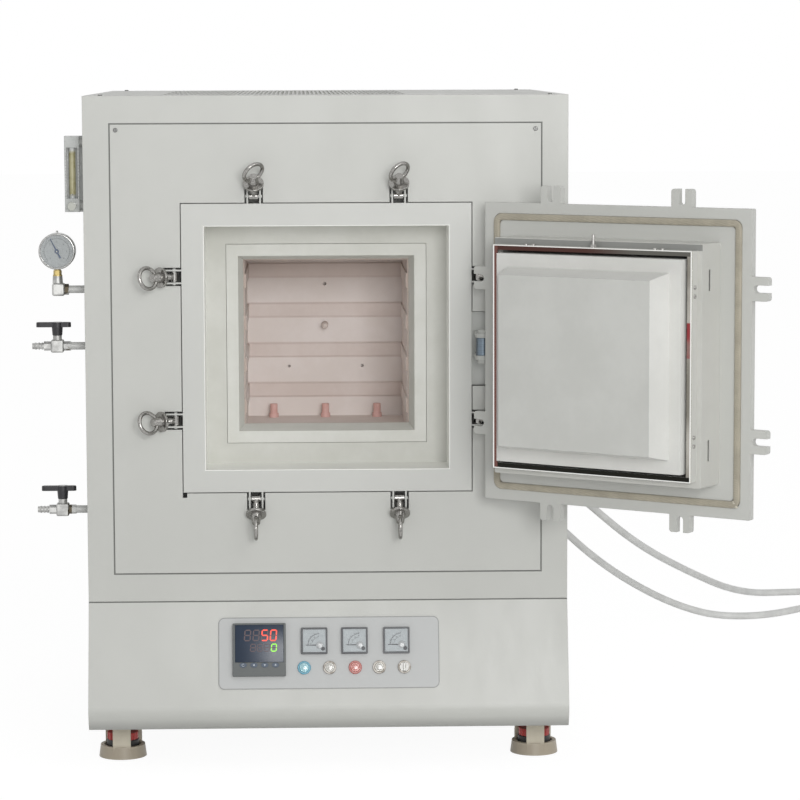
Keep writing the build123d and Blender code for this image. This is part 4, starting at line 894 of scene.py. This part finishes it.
@dataclass
class Flowmeter(Assembly):
    """The printed scale and the float of the flowmeter."""

    x: float = -457.5
    front_y: float = 46.0
    low: float = 1036.5
    high: float = 1128.0
    width: float = 27.0

    def build(self) -> None:
        """Builds the scale marks and the float ball."""
        marks, ball = bmesh.new(), bmesh.new()
        for step in range(16):
            z = self.low + 4.0 + (self.high - self.low - 8.0) * step / 15
            length = 2.6 if step % 5 == 0 else 1.6
            for side in (-1, 1):
                x = self.x + side * (self.width / 2 - 1.9)
                spot = face_matrix(self.cabinet.at(x, self.front_y - 0.03, z), FRONT, UP)
                add_slab(marks, spot, (length * MM, 0.5 * MM, 0.0001))
        self.piece("flowmeter_marks", marks, INK)
        centre = self.cabinet.at(self.x, self.front_y + 1.4, self.low + 7.0)
        bmesh.ops.create_uvsphere(ball, u_segments=24, v_segments=16, radius=0.0014, matrix=shift(*centre))
        self.piece("flowmeter_float", ball, MetalFinish("float_steel", (0.5, 0.5, 0.5), 0.2), smooth=True)


@dataclass
class SwingBolts(Assembly):
    """The threads of the eight swing bolts, cut over their plain shanks."""

    spacing: float = 130.0
    pivot_y: float = 4.0
    pivot_radius: float = 274.0
    thread_start: float = 11.0
    thread_end: float = 29.5
    pitch: float = 1.5
    root_radius: float = 5.03
    crest_radius: float = 5.45
    # Name, quarter turns from the top, side of the middle and degrees of swing
    places: tuple[tuple[str, int, int, float], ...] = (
        ("bolt_top_left", 0, -1, 45.0), ("bolt_top_right", 0, 1, 45.0),
        ("bolt_left_upper", 1, 1, 47.0), ("bolt_left_lower", 1, -1, 50.0),
        ("bolt_bottom_left", 2, 1, 50.0), ("bolt_bottom_right", 2, -1, 50.0),
        ("bolt_right_upper", 3, -1, 50.0), ("bolt_right_lower", 3, 1, 50.0),
    )

    def build(self) -> None:
        """Builds a thread on every bolt."""
        profile = []
        distance = self.thread_start
        while distance < self.thread_end:
            profile += [(self.root_radius, distance), (self.crest_radius, distance + self.pitch / 2)]
            distance += self.pitch
        centre = Matrix.Translation(self.cabinet.at(0.0, 0.0, VESSEL_Z / MM))
        for body, turns, side, swing in self.places:
            turn = Matrix.Rotation(math.radians(-90.0 * turns), 4, "Y")
            pivot = Vector((side * self.spacing, self.pivot_y, self.pivot_radius)) * MM
            lean = math.radians(swing)
            along = Vector((0.0, -math.cos(lean), math.sin(lean)))
            thread = bmesh.new()
            add_disc(thread, centre @ turn @ face_matrix(pivot, along, Vector((1.0, 0.0, 0.0))), profile, 24)
            self.piece(f"thread_{body}", thread, CLAMP_STEEL, body)


@dataclass
class DoorFittings(Assembly):
    """The braided gasket of the open door, in its groove, with its joint at a lower corner."""

    edge: Pair = (281.6, -67.8)
    turn: float = 35.4
    half_door: float = 265.0
    half_path: float = 240.0
    corner: float = 10.0
    step: float = 1.5
    half_width: float = 5.9
    floor: float = -3.6
    crown: float = 4.4
    strand: float = 6.0
    lumps: tuple[tuple[float, float, float, float], ...] = (
        (236.0, -236.0, 5.5, 2.6), (240.5, -229.0, 4.0, 2.2), (231.0, -240.5, 3.6, 2.0),
        (239.5, -243.0, 3.2, 2.0),
    )

    def frame(self) -> Matrix:
        """Returns the open door's frame: X from the hinge to the free side, Y up, Z out of its inner face."""
        lean = math.radians(self.turn)
        along = Vector((math.cos(lean), -math.sin(lean), 0.0))
        normal = Vector((-math.sin(lean), -math.cos(lean), 0.0))
        matrix = Matrix((along, UP, normal)).transposed().to_4x4()
        matrix.translation = self.cabinet.at(*self.edge, VESSEL_Z / MM) + along * self.half_door * MM
        return matrix

    def build(self) -> None:
        """Builds the braid and its sealed joint."""
        frame = self.frame()
        path = self._path()
        braid = bmesh.new()
        rings = []
        travelled = 0.0
        for index, point in enumerate(path):
            along = (path[(index + 1) % len(path)] - path[index - 1]).normalized()
            across = Vector((along.y, -along.x))
            travelled += (point - path[index - 1]).length
            ring = []
            for step, (offset, height, relief) in enumerate(self._profile()):
                wave = math.sin(2 * math.pi * travelled / self.strand + (math.pi if step % 2 else 0.0))
                lift = 0.28 * relief * (wave - 1.0)
                place = point + across * (offset * (1.0 + 0.02 * lift))
                ring.append(braid.verts.new(frame @ (Vector((place.x, place.y, height + lift)) * MM)))
            rings.append(ring)
        add_rings(braid, rings, True)
        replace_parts(self.piece("gasket_braid", braid, BraidFinish(), "door", True), "door_gasket")
        self._joint(frame)

    def _path(self) -> list[Vector]:
        """Returns the gasket's middle line as points round a square with round corners."""
        points = []
        straight = self.half_path - self.corner
        steps = int(2 * straight / self.step)
        for quarter in range(4):
            side = [(self.half_path, -straight + 2 * straight * index / steps) for index in range(steps)]
            for index in range(8):
                x, y = polar(self.corner, 90.0 * index / 8)
                side.append((straight + x, straight + y))
            cosine, sine = polar(1.0, 90.0 * quarter)
            points += [Vector((x * cosine - y * sine, x * sine + y * cosine)) for x, y in side]
        return points

    def _profile(self) -> list[Triple]:
        """Returns the cord's section as offset, height and how much the strands stand out there."""
        width = self.half_width
        half = [(-width, self.floor, 0.0), (-width, 1.2, 0.0), (-width + 0.6, self.crown - 1.2, 0.7),
                (-width * 0.62, self.crown - 0.25, 1.0), (-width * 0.3, self.crown, 1.0)]
        return [*half, (0.0, self.crown, 1.0), *((-x, height, relief) for x, height, relief in half[::-1])]

    def _joint(self, frame: Matrix) -> None:
        """Builds the lumps of sealant where the cord's ends meet at the free side's lower corner."""
        lumps = bmesh.new()
        for x, y, size, rise in self.lumps:
            place = frame @ shift(x * MM, y * MM, 1.7 * MM) @ Matrix.Diagonal((1.0, 0.8, rise / size, 1.0))
            bmesh.ops.create_icosphere(lumps, subdivisions=3, radius=size * MM, matrix=place)
        for index, vert in enumerate(lumps.verts):
            vert.co += Vector([math.sin(index * pace) for pace in (1.7, 2.3, 3.1)]) * 0.00012
        sealant = PlasticFinish("sealant", (0.60, 0.57, 0.48), 0.5, 500.0)
        self.piece("gasket_joint", lumps, sealant, "door", True)


@dataclass
class Hoses(Assembly):
    """The two free hoses behind the cabinet, with their end fittings."""

    diameter: float = 16.0
    # Name, length in metres and points of the route in the cabinet's frame
    routes: tuple[tuple[str, float, tuple[Triple, ...]], ...] = (
        ("upper", 1.401, (
            (395, 984, 446), (395, 1036, 446), (408, 1086, 436), (440, 1128, 413), (490, 1146, 382),
            (553, 1140, 340), (612, 1150, 288), (670, 1195, 237), (736, 1275, 186), (806, 1372, 139),
            (872, 1488, 95), (930, 1606, 56), (985, 1700, 27), (1042, 1757, 10), (1100, 1776, 8),
            (1156, 1782, 8), (1210, 1800, 9.5), (1258, 1806, 13),
        )),
        ("lower", 1.200, (
            (395, 984, 366), (395, 1034, 366), (406, 1084, 356), (430, 1131, 332), (470, 1166, 297),
            (522, 1184, 259), (574, 1222, 207), (640, 1292, 149), (715, 1366, 94), (796, 1428, 46),
            (876, 1459, 15), (938, 1459, 8), (997, 1462, 8), (1057, 1497, 8), (1112, 1551, 8),
            (1170, 1590, 9.5), (1228, 1604, 13),
        )),
    )
    collar: tuple[Pair, ...] = (
        (9.4, 0.0), (10.4, 0.6), (10.4, 5.0), (9.8, 5.6), (10.4, 6.2), (10.4, 12.0), (9.8, 12.6),
        (10.4, 13.2), (10.4, 19.0), (9.6, 20.0),
    )
    nut: tuple[Pair, ...] = ((11.6, 0.0), (12.4, 1.0), (12.4, 13.0), (11.6, 14.0))
    nipple: tuple[Pair, ...] = ((7.9, 0.0), (7.9, 13.2), (7.3, 14.0), (5.6, 14.0), (5.6, 6.0))

    def build(self) -> None:
        """Builds both hoses with their connectors."""
        for name, length, route in self.routes:
            hose = self._tube(name, route)
            connector = self._connector(name, self.cabinet.at(*route[-1]), self.cabinet.at(*route[-2]))
            tuple(self.cabinet.at(*route[0]))

    def _tube(self, name: str, route: Sequence[Triple]) -> bpy.types.Object:
        """Builds a hose.

        Args:
            name: Which hose it is.
            route: Its points in the cabinet's frame.

        Returns:
            The hose, which stands for its CAD node.
        """
        curve = bpy.data.curves.new(f"hose_{name}_tube", "CURVE")
        curve.dimensions = "3D"
        spline = curve.splines.new("NURBS")
        spline.points.add(len(route) - 1)
        for point, place in zip(spline.points, route):
            point.co = (*self.cabinet.at(*place), 1.0)
        spline.order_u = 3
        spline.use_endpoint_u = True
        curve.resolution_u = 16
        curve.bevel_depth = self.diameter / 2 * MM
        curve.bevel_resolution = 7
        curve.use_fill_caps = True
        piece = self.carried(f"hose_{name}_tube", curve, HOSE_RUBBER)
        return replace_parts(piece, f"hose_{name}")

    def _connector(self, name: str, end: Vector, before: Vector) -> bpy.types.Object:
        """Returns the crimped collar, hexagon nut and nipple at a hose's end."""
        place = face_matrix(end, end - before, UP)
        fitting = bmesh.new()
        add_disc(fitting, place, self.collar)
        add_disc(fitting, place @ shift(0, 0, 20 * MM), self.nut, 6)
        add_disc(fitting, place @ shift(0, 0, 34 * MM), self.nipple)
        piece = self.piece(f"hose_connector_{name}", fitting, HOSE_NICKEL, smooth=True)
        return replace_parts(piece, "hose_end_fittings")


@dataclass
class NodeDressing(Assembly):
    """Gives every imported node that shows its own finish."""

    nodes: dict[str, bpy.types.Object]
    paint: Colour = (0.575, 0.580, 0.548)
    inner_paint: Colour = (0.60, 0.605, 0.575)
    # Millimetres of the cabinet's frame
    gauge_x: float = -487.0
    flow_x: float = -457.5
    thread_x: float = -470.5
    hinge_x: float = 261.5
    chamber_end: float = 405.0
    plate_drop: float = 95.0
    plate_size: Triple = (400.0, 130.0, 11.0)
    lens_reach: float = 0.016
    # Heights and half widths in metres
    pad_top: float = 0.034
    thumb_ring_top: float = 0.0471
    # Heights over which the painted shade on the casters' skirt fades out
    skirt_fade: Pair = (0.020, 0.030)
    crease_fade: Pair = (0.082, 0.101)
    panel_half: float = 0.3874
    panel_low: float = 0.3576
    panel_high: float = 1.1714
    panel_gap: float = 0.0013
    throat_half: float = 0.2215
    roof_rise: float = 0.150
    band_top: float = 0.125
    band_pitch: float = 0.0775
    band_height: float = 0.026
    band_soft: float = 0.004
    # Half width of the painted shade lines along the edges of the chamber's bands
    band_seam: float = 0.0022
    # Height and half height of the painted shade on the hinge's plate
    hinge_plate: Pair = (0.7645, 0.0675)
    gauge_nut: Pair = (0.9035, 0.0075)
    gauge_half: float = 0.0125
    vent_low: float = 0.966
    tube_half: float = 0.0058
    float_fade: Pair = (1.040, 1.046)
    top_fade: Pair = (1.118, 1.124)
    # Places on the open door in metres
    plug_face: float = 0.1445
    shaded_strip: Triple = (0.1955, 0.2062, 0.0642)
    trim_lip: float = 0.0828
    trim_inner: float = 0.1868
    # Where the painted highlight along the frame's outer rim starts, across and up
    trim_rim: Pair = (0.1936, 0.1944)
    # Height and half height of the painted red reflection on the frame's free side
    red_patch: Pair = (0.045, 0.030)

    def build(self) -> None:
        """Assigns all finishes."""
        for name, node in self.nodes.items():
            material = self._finish_of(name)
            for slot in node.material_slots:
                slot.material = material
            if not node.material_slots:
                node.data.materials.append(material)
            LOG.info("dressed %s with %s", name, material.name)

    def _finish_of(self, name: str) -> Material:
        """Returns a node's finish."""
        if name in NODE_FINISHES:
            return self.finishes.use(NODE_FINISHES[name])
        for start, finish in FAMILY_FINISHES.items():
            if name.startswith(start):
                return self.finishes.use(finish)
        makers: dict[str, tuple[str, Callable[[Graph], Material]]] = {
            "caster": ("caster_cream", self._caster),
            "pad": ("levelling_pad", self._pad),
            "furnace_vessel": ("vessel_paint", self._vessel),
            "vessel_brackets": ("bracket_paint", self._brackets),
            "door_tray": ("tray_paint", self._tray),
            "control_plate": ("control_plate", self._control_plate),
            "door_plug": ("plug_fibre", self._plug),
            "chamber_lining": ("chamber_lining", self._chamber),
            "ceramic_tubes": ("chamber_ceramics", self._ceramics),
            "door_trim": ("polished_trim", self._trim),
            "gas_pipework": ("gas_fittings", self._pipework),
            "flowmeter_body": ("flowmeter_acrylic", self._flowmeter),
            "controller_case": ("controller_plastic", self._controller),
            "control_bezels": ("button_rings", self._bezels),
        }
        family = makers.get(name.split("_")[0], ("cabinet_paint", self._cabinet))
        material, make = makers.get(name, family)
        return self.finishes.get(material, lambda: make(Graph(material)))

    def _pad(self, graph: Graph) -> Material:
        """Returns black rubber below, a red thumb ring above it and a steel screw on top."""
        height = graph.part(Axis3.Z)
        cloud = graph.noise(60.0)
        screw = height > self.thumb_ring_top
        tone = graph.mix(height > self.pad_top, (0.022, 0.022, 0.022), (0.50, 0.055, 0.05))
        tone = graph.mix(screw, tone, (0.45, 0.45, 0.44))
        tone = graph.mix(cloud.smooth(0.4, 0.8) * 0.3, tone, (0.12, 0.11, 0.10))
        return graph.coat(tone, cloud * 0.15 + 0.42, 800.0, 0.00005, 0.5, 0.0008, Metallic=screw)

    def _chamber(self, graph: Graph) -> Material:
        """Returns the fired chamber: pale pinkish board, darker bands on its back with painted shade lines
        along their edges, painted shade towards the roof and on the faces at its mouth.
        """
        height = graph.part(Axis3.Z)
        depth = graph.part(Axis3.Y)
        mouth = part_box("chamber_lining")[0][1] + 0.0012
        inside = depth > self.cabinet.at(0, self.chamber_end, 0).y - 0.006
        soft = self.band_soft
        bands: Any = 0.0
        edges: Any = 0.0
        for index in range(4):
            top = VESSEL_Z + self.band_top - self.band_pitch * index
            low = top - self.band_height
            under = 1.0 - height.smooth(top - soft, top + soft)
            bands = under * height.smooth(low - soft, low + soft) + bands
            for edge in (low, top):
                edges = height.near(edge, self.band_seam) * inside + edges
        cloud = graph.noise(11.0, 5.0, 0.65)
        specks = graph.noise(300.0, 3.0, 0.7)
        board = graph.mottle(cloud, (0.84, 0.775, 0.735), (0.885, 0.825, 0.795))
        band = graph.mottle(cloud, (0.765, 0.675, 0.63), (0.825, 0.745, 0.705), 0.3)
        tone = graph.mix(bands * inside, board, band)
        # Painted shade: thin darker lines along the bands' upper and lower edges, where the board steps would
        # shade.
        tone = graph.mix(edges * 0.22, tone, (0.50, 0.36, 0.32))
        # Painted shade: the lining darkens browner towards the roof.
        roof = VESSEL_Z + self.roof_rise
        tone = graph.mix(height.smooth(roof - 0.11, roof + 0.004) * 0.42, tone, (0.47, 0.38, 0.33))
        # Painted shade: the lining's faces at the chamber's mouth are darker.
        tone = graph.mix(depth < mouth, tone, (0.52, 0.43, 0.385))
        tone = graph.mix(specks.smooth(0.64, 0.8) * 0.2, tone, (0.55, 0.46, 0.41))
        return graph.close(tone, specks * 0.06 + 0.9, specks * 0.6 + cloud * 0.4, 0.0004, 0.5, 0.001,
                           Specular_IOR_Level=0.12)

    def _cabinet(self, graph: Graph) -> Material:
        """Returns the cabinet's paint, dark in the joints of its front and shaded under the base's crease."""
        across, depth, height = (graph.part(axis) for axis in Axis3)
        middle = self.cabinet.origin
        tone, smear = paint_tone(graph, self.paint)
        half, low, high, line = self.panel_half, self.panel_low, self.panel_high, self.panel_gap
        offset = abs(across - middle.x)
        side = offset.near(half, line) * (height > low - line) * (height < high + line)
        ends = (height.near(low, line) + height.near(high, line)) * (offset < half + line)
        joints = (side + ends + height.near(SEAM_Z, 0.001)).smooth(0.4, 0.6) * (depth < middle.y + 0.0025)
        under = (1.0 - height.smooth(*self.crease_fade)) * (height < 0.12)
        tone = graph.mix(under * 0.9, tone, shade(self.paint, 0.70))
        tone = graph.mix(joints * 0.8, tone, (0.13, 0.135, 0.125))
        return graph.coat(tone, smear.smooth(0.3, 0.7) * 0.1 + 0.37, Specular_IOR_Level=0.45)

    def _caster(self, graph: Graph) -> Material:
        """Returns the casters' cream enamel, with painted shade darkening the skirt near the floor."""
        cloud = graph.noise(30.0, 4.0, 0.6)
        tone = graph.mottle(cloud, (0.60, 0.55, 0.44), (0.67, 0.62, 0.50), 0.3)
        # Painted shade: the skirt near the floor is darkened.
        low = 1.0 - graph.part(Axis3.Z).smooth(*self.skirt_fade)
        return graph.coat(graph.mix(low, tone, (0.44, 0.385, 0.30)), cloud * 0.1 + 0.36, 700.0)

    def _control_plate(self, graph: Graph) -> Material:
        """Returns the control plate's pale paint with a thin line of painted shade along its rounded edge."""
        place = ControlPanel(self.cabinet, self.finishes).spot(0.0, self.plate_drop, 0.0)
        width, height, corner = self.plate_size
        squares = []
        for column, size in enumerate((width, height)):
            offset = abs(graph.along(place.col[column].to_3d(), place.translation)) - (size / 2 - corner) * MM
            beyond = (offset > 0.0) * offset
            squares.append(beyond * beyond)
        edge = squares[0] + squares[1] > ((corner - 1.5) * MM) ** 2
        cloud = graph.noise(5.0, 4.0, 0.6)
        tone = graph.mottle(cloud, (0.475, 0.485, 0.48), (0.50, 0.51, 0.505))
        # Painted shade: a thin dark line along the raised plate's edge.
        tone = graph.mix(edge * 0.75, tone, (0.23, 0.235, 0.23))
        return graph.coat(tone, cloud * 0.1 + 0.36, 900.0, 0.00002, edge=0.0008)

    def _plug(self, graph: Graph) -> Material:
        """Returns the plug's ceramic fibre: a lighter, lit copy painted behind its front face and a darker,
        shaded copy on the front face.
        """
        _, _, out = self._door_place(graph)
        cloud, specks = graph.fibre()
        front = graph.mottle(cloud, (0.585, 0.59, 0.56), (0.625, 0.63, 0.60))
        behind = graph.mottle(cloud, (0.685, 0.685, 0.655), (0.73, 0.73, 0.70))
        # Painted light: the bevelled sides behind the front face are a lighter copy of the fibre, and the
        # front face is a darker one.
        tone = graph.mix(out > self.plug_face, behind, front)
        tone = graph.mix(specks.smooth(0.66, 0.78) * 0.3, tone, (0.52, 0.52, 0.49))
        return graph.close(tone, specks * 0.08 + 0.88, specks * 0.5 + cloud * 0.3, 0.00035, 0.5, 0.0015,
                           Specular_IOR_Level=0.15)

    def _ceramics(self, graph: Graph) -> Material:
        """Returns the pink pegs on the chamber's floor and the paler probe above them."""
        cloud = graph.noise(60.0, 4.0, 0.6)
        pink = graph.mottle(cloud, (0.74, 0.44, 0.40), (0.80, 0.52, 0.48), 0.3)
        tone = graph.mix(graph.part(Axis3.Z) > VESSEL_Z - 0.08, pink, (0.74, 0.66, 0.61))
        return graph.coat(tone, cloud * 0.1 + 0.6, 500.0, 0.0001, 0.5, 0.0008)

    def _vessel(self, graph: Graph) -> Material:
        """Returns the vessel's paint, with painted light making it paler inside the throat."""
        place = self.cabinet.at(0.0, 0.0, VESSEL_Z / MM)
        across = graph.part(Axis3.X).near(place.x, self.throat_half)
        upright = graph.part(Axis3.Z).near(place.z, self.throat_half)
        cloud = graph.noise(3.0, 4.0, 0.6)
        outer = graph.mottle(cloud, shade(self.inner_paint, 0.975), shade(self.inner_paint, 1.02))
        # Painted light: the throat's walls are much paler than the outer paint, against the recess's shade.
        tone = graph.mix(across * upright, outer, (0.90, 0.905, 0.865))
        return graph.coat(tone, cloud * 0.1 + 0.34, Specular_IOR_Level=0.45)

    def _brackets(self, graph: Graph) -> Material:
        """Returns the brackets' paint, with painted shade making the hinge's plate in its recess greyer."""
        cloud = graph.noise(14.0, 3.0, 0.6)
        right = graph.part(Axis3.X) > self.cabinet.across(self.hinge_x)
        hinge = right * graph.part(Axis3.Z).near(*self.hinge_plate)
        plain = graph.mottle(cloud, shade(self.inner_paint, 0.95), self.inner_paint, 0.3)
        # Painted shade: the hinge's plate in its recess is a darker grey.
        recess_shade = graph.mottle(cloud, (0.50, 0.51, 0.485), (0.56, 0.57, 0.545), 0.3)
        return graph.coat(graph.mix(hinge, plain, recess_shade), cloud * 0.1 + 0.36)

    def _pipework(self, graph: Graph) -> Material:
        """Returns nickel fittings with pale pipes, brass at the gauge's nut and black at its vent."""
        height = graph.part(Axis3.Z)
        across = graph.part(Axis3.X)
        near = across.near(self.cabinet.across(self.gauge_x), self.gauge_half)
        brass = near * height.near(*self.gauge_nut)
        vent = near * (height > self.vent_low)
        cloud = graph.noise(55.0, 3.0, 0.6)
        nickel = graph.mottle(cloud, (0.36, 0.36, 0.35), (0.56, 0.56, 0.545), 0.35, 0.65)
        threads = across.near(self.cabinet.across(self.thread_x), 0.0036)
        pipes = (across > self.cabinet.across(self.thread_x + 4.0)) * (height > 0.40)
        tone = graph.mix(pipes, nickel, (0.56, 0.565, 0.55))
        tone = graph.mix(threads * (cloud > 0.47), tone, (0.10, 0.085, 0.06))
        tone = graph.mix(brass, tone, (0.52, 0.41, 0.17))
        tone = graph.mix(vent, tone, (0.02, 0.02, 0.02))
        metal = 0.9 - vent * 0.9 - pipes * 0.75
        return graph.coat(tone, cloud * 0.16 + 0.40, 400.0, 0.00002, 0.5, 0.0006, Metallic=metal)

    def _door_place(self, graph: Graph) -> tuple[Value, Value, Value]:
        """Returns a place on the open door: across from its middle, up from its middle, out of its face."""
        frame = DoorFittings(self.cabinet, self.finishes).frame()
        return tuple(graph.along(frame.col[column].to_3d(), frame.translation) for column in range(3))

    def _tray(self, graph: Graph) -> Material:
        """Returns the tray's paint, in shadow on the strip above the polished frame."""
        _, up, out = self._door_place(graph)
        cloud = graph.noise(6.0, 4.0, 0.6)
        tone = graph.mottle(cloud, (0.565, 0.565, 0.53), (0.60, 0.60, 0.565))
        low, high, level = self.shaded_strip
        strip = (up > low) * (up < high) * (out > level)
        return graph.coat(graph.mix(strip * 0.85, tone, (0.21, 0.215, 0.205)), cloud * 0.1 + 0.31)

    def _trim(self, graph: Graph) -> Material:
        """Returns the frame: polished lip with painted reflections, dark and red streaks, and a painted
        highlight along its outer rim; its sides are pale paint.
        """
        across, up, out = self._door_place(graph)
        inner = self.trim_inner
        lip = out > self.trim_lip
        rim_highlight = ((abs(across) > self.trim_rim[0]) + (abs(up) > self.trim_rim[1])) * lip
        broad = graph.noise(1.0, 3.0, 0.55, (9.0, 9.0, 9.0))
        lines = graph.noise(1.0, 2.0, 0.5, (300.0, 300.0, 40.0))
        # Painted reflections: the lip's colours below stand in for what the polished steel reflects.
        silver = graph.mottle(broad, (0.24, 0.225, 0.195), (0.46, 0.44, 0.40), 0.38, 0.62)
        upper = graph.mottle(across, (0.080, 0.040, 0.034), (0.125, 0.122, 0.108), -0.02, 0.10)
        tone = graph.mix(up > inner, silver, upper)
        # Painted reflection: near black along the bottom.
        tone = graph.mix(up < -inner, tone, (0.018, 0.018, 0.015))
        # Painted reflection: reddish along the side towards the hinge.
        tone = graph.mix(across < -inner, tone, (0.16, 0.075, 0.065))
        # Painted reflection: a red patch on the free side.
        red_reflection = (across > inner) * up.near(*self.red_patch)
        tone = graph.mix(red_reflection * broad.smooth(0.35, 0.55), tone, (0.30, 0.055, 0.060))
        # Painted highlight along the lip's outer rim.
        tone = graph.mix(rim_highlight, tone, (0.86, 0.86, 0.83))
        painted = graph.mix(lip, (0.585, 0.585, 0.55), tone)
        rough = 0.36 - lip * 0.2 + lines * 0.06
        return graph.close(painted, rough, lines, 0.00001, 0.4, 0.0005, Metallic=lip)

    def _flowmeter(self, graph: Graph) -> Material:
        """Returns the flowmeter's clear acrylic, olive yellow in its tube."""
        height = graph.part(Axis3.Z)
        tube = graph.part(Axis3.X).near(self.cabinet.across(self.flow_x), self.tube_half)
        filled = height.smooth(*self.float_fade) * (1.0 - height.smooth(*self.top_fade)) * tube
        cloud = graph.noise(50.0, 4.0, 0.6)
        clear = graph.mottle(cloud, (0.50, 0.515, 0.50), (0.60, 0.615, 0.60), 0.3)
        olive = graph.mottle(cloud, (0.40, 0.37, 0.19), (0.52, 0.49, 0.30), 0.3)
        return graph.coat(graph.mix(filled, clear, olive), cloud * 0.12 + 0.22, 500.0, 0.00003, 0.5, 0.0006,
                          Coat_Weight=0.35)

    def _controller(self, graph: Graph) -> Material:
        """Returns the controller's grey plastic, dark blue on its raised keys."""
        panel = ControlPanel(self.cabinet, self.finishes)
        face = panel.spot(0.0, 0.0, panel.plate + panel.controller_proud + 0.25)
        keys = graph.along(face.col[2].to_3d(), face.translation) > 0.0
        cloud = graph.noise(40.0)
        grey = graph.mottle(cloud, (0.060, 0.069, 0.068), (0.075, 0.085, 0.084), 0.3)
        tone = graph.mix(keys, grey, (0.035, 0.06, 0.10))
        return graph.coat(tone, cloud * 0.1 + 0.35, 1600.0, 0.00003, 0.5, 0.0008)

    def _bezels(self, graph: Graph) -> Material:
        """Returns the button rings: cyan, steel, red, steel and steel from left to right."""
        across = graph.part(Axis3.X)
        places = {body: u for body, u, *_ in ControlPanel.buttons}
        cyan, red = (across.near(self.cabinet.across(places[body]), self.lens_reach)
                     for body in ("button_cyan", "button_red"))
        cloud = graph.noise(90.0)
        steel = graph.mottle(cloud, (0.20, 0.18, 0.155), (0.40, 0.38, 0.35), 0.35, 0.6)
        tone = graph.mix(cyan, steel, (0.06, 0.30, 0.42))
        tone = graph.mix(red, tone, (0.40, 0.075, 0.055))
        metal = 1.0 - cyan - red
        return graph.coat(tone, metal * 0.28 + cloud * 0.12 + 0.18, 1200.0, 0.00001, 0.4, 0.0005,
                          Metallic=metal * 0.8)


@dataclass
class Studio:
    """The pale floor, the soft lamps and the white surroundings."""

    cabinet: Cabinet
    floor_size: float = 60.0
    world_level: float = 0.40
    white: Colour = (1.0, 1.0, 1.0)
    # Place in the cabinet's frame, size and power of each lamp
    lamps: tuple[tuple[Triple, float, float], ...] = (
        ((900.0, -6000.0, 1900.0), 1.9, 140.0),
        ((2300.0, -3000.0, 3400.0), 2.4, 30.0),
    )

    def build(self) -> None:
        """Builds floor, lamps and world."""
        self._floor()
        for index, (place, size, power) in enumerate(self.lamps):
            self._lamp(index, self.cabinet.at(*place), size, power)
        self._world()

    def _floor(self) -> None:
        """Builds the floor, which is white to the camera but keeps the shadow."""
        mesh = bmesh.new()
        bmesh.ops.create_grid(mesh, x_segments=1, y_segments=1, size=self.floor_size / 2)
        data = bpy.data.meshes.new("floor")
        mesh.to_mesh(data)
        mesh.free()
        graph = Graph("floor_white")
        diffuse = graph.node("ShaderNodeBsdfDiffuse", None, {"Color": (0.92, 0.92, 0.92)})
        glow = graph.node("ShaderNodeEmission", None, {"Color": self.white, "Strength": 1.09})
        graph.show(graph.seen() * 0.86, diffuse, glow)
        graph.tree.nodes.remove(graph.shader.raw)
        data.materials.append(graph.material)
        floor = bpy.data.objects.new("floor", data)
        bpy.context.scene.collection.objects.link(floor)

    def _lamp(self, index: int, place: Vector, size: float, power: float) -> None:
        """Builds a square lamp that looks at the furnace's middle.

        Args:
            index: The lamp's number.
            place: Where it stands.
            size: Its edge in metres.
            power: Its power in watts.
        """
        data = bpy.data.lights.new(f"lamp_{index}", "AREA")
        data.size = size
        data.energy = power
        lamp = bpy.data.objects.new(f"lamp_{index}", data)
        lamp.location = place
        target = self.cabinet.at(0.0, 0.0, 700.0)
        lamp.rotation_euler = (target - place).to_track_quat("-Z", "Y").to_euler()
        bpy.context.scene.collection.objects.link(lamp)

    def _world(self) -> None:
        """Sets white surroundings for the camera and for reflections, and a softer level for light."""
        world = bpy.data.worlds.new("studio")
        tree = Tree(world, "ShaderNodeOutputWorld")
        light, white = (tree.node("ShaderNodeBackground", None, {"Color": self.white, "Strength": level})
                        for level in (self.world_level, 1.0))
        tree.show(tree.seen(), light, white)
        bpy.context.scene.world = world


@dataclass
class PhotoCamera:
    """The camera at the photograph's place and angle."""

    cabinet: Cabinet
    place: Triple = (-49.94, -5624.65, 1283.33)
    yaw: float = 0.0322
    pitch: float = -0.1082
    roll: float = -0.0032
    lens: float = 140.93

    def build(self) -> None:
        """Builds the camera and makes it the scene's camera."""
        forward = Vector((math.sin(self.yaw) * math.cos(self.pitch),
                          math.cos(self.yaw) * math.cos(self.pitch), math.sin(self.pitch)))
        level_right = Vector((math.cos(self.yaw), -math.sin(self.yaw), 0.0))
        level_up = level_right.cross(forward)
        right = level_right * math.cos(self.roll) + level_up * math.sin(self.roll)
        up = level_up * math.cos(self.roll) - level_right * math.sin(self.roll)
        matrix = Matrix((right, up, -forward)).transposed().to_4x4()
        matrix.translation = self.cabinet.at(*self.place)
        data = bpy.data.cameras.new("photo_camera")
        data.lens = self.lens
        data.sensor_width = 36.0
        data.clip_end = 200.0
        camera = bpy.data.objects.new("photo_camera", data)
        camera.matrix_world = matrix
        bpy.context.scene.collection.objects.link(camera)
        bpy.context.scene.camera = camera


def main() -> None:
    """Builds the scene in order and logs each part as it is built."""
    logging.basicConfig(level=logging.INFO, format="%(message)s")
    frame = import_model()
    cabinet = Cabinet()
    shared = (cabinet, Finishes())
    for part in (
        NodeDressing(*shared, frame["nodes"]), ControlPanel(*shared), PressureGauge(*shared),
        Flowmeter(*shared), SwingBolts(*shared), DoorFittings(*shared), Hoses(*shared), Studio(cabinet),
        PhotoCamera(cabinet),
    ):
        part.build()
        LOG.info("built %s", type(part).__name__)
    bpy.context.scene.view_settings.view_transform = "Standard"


if __name__ == "__main__":
    main()
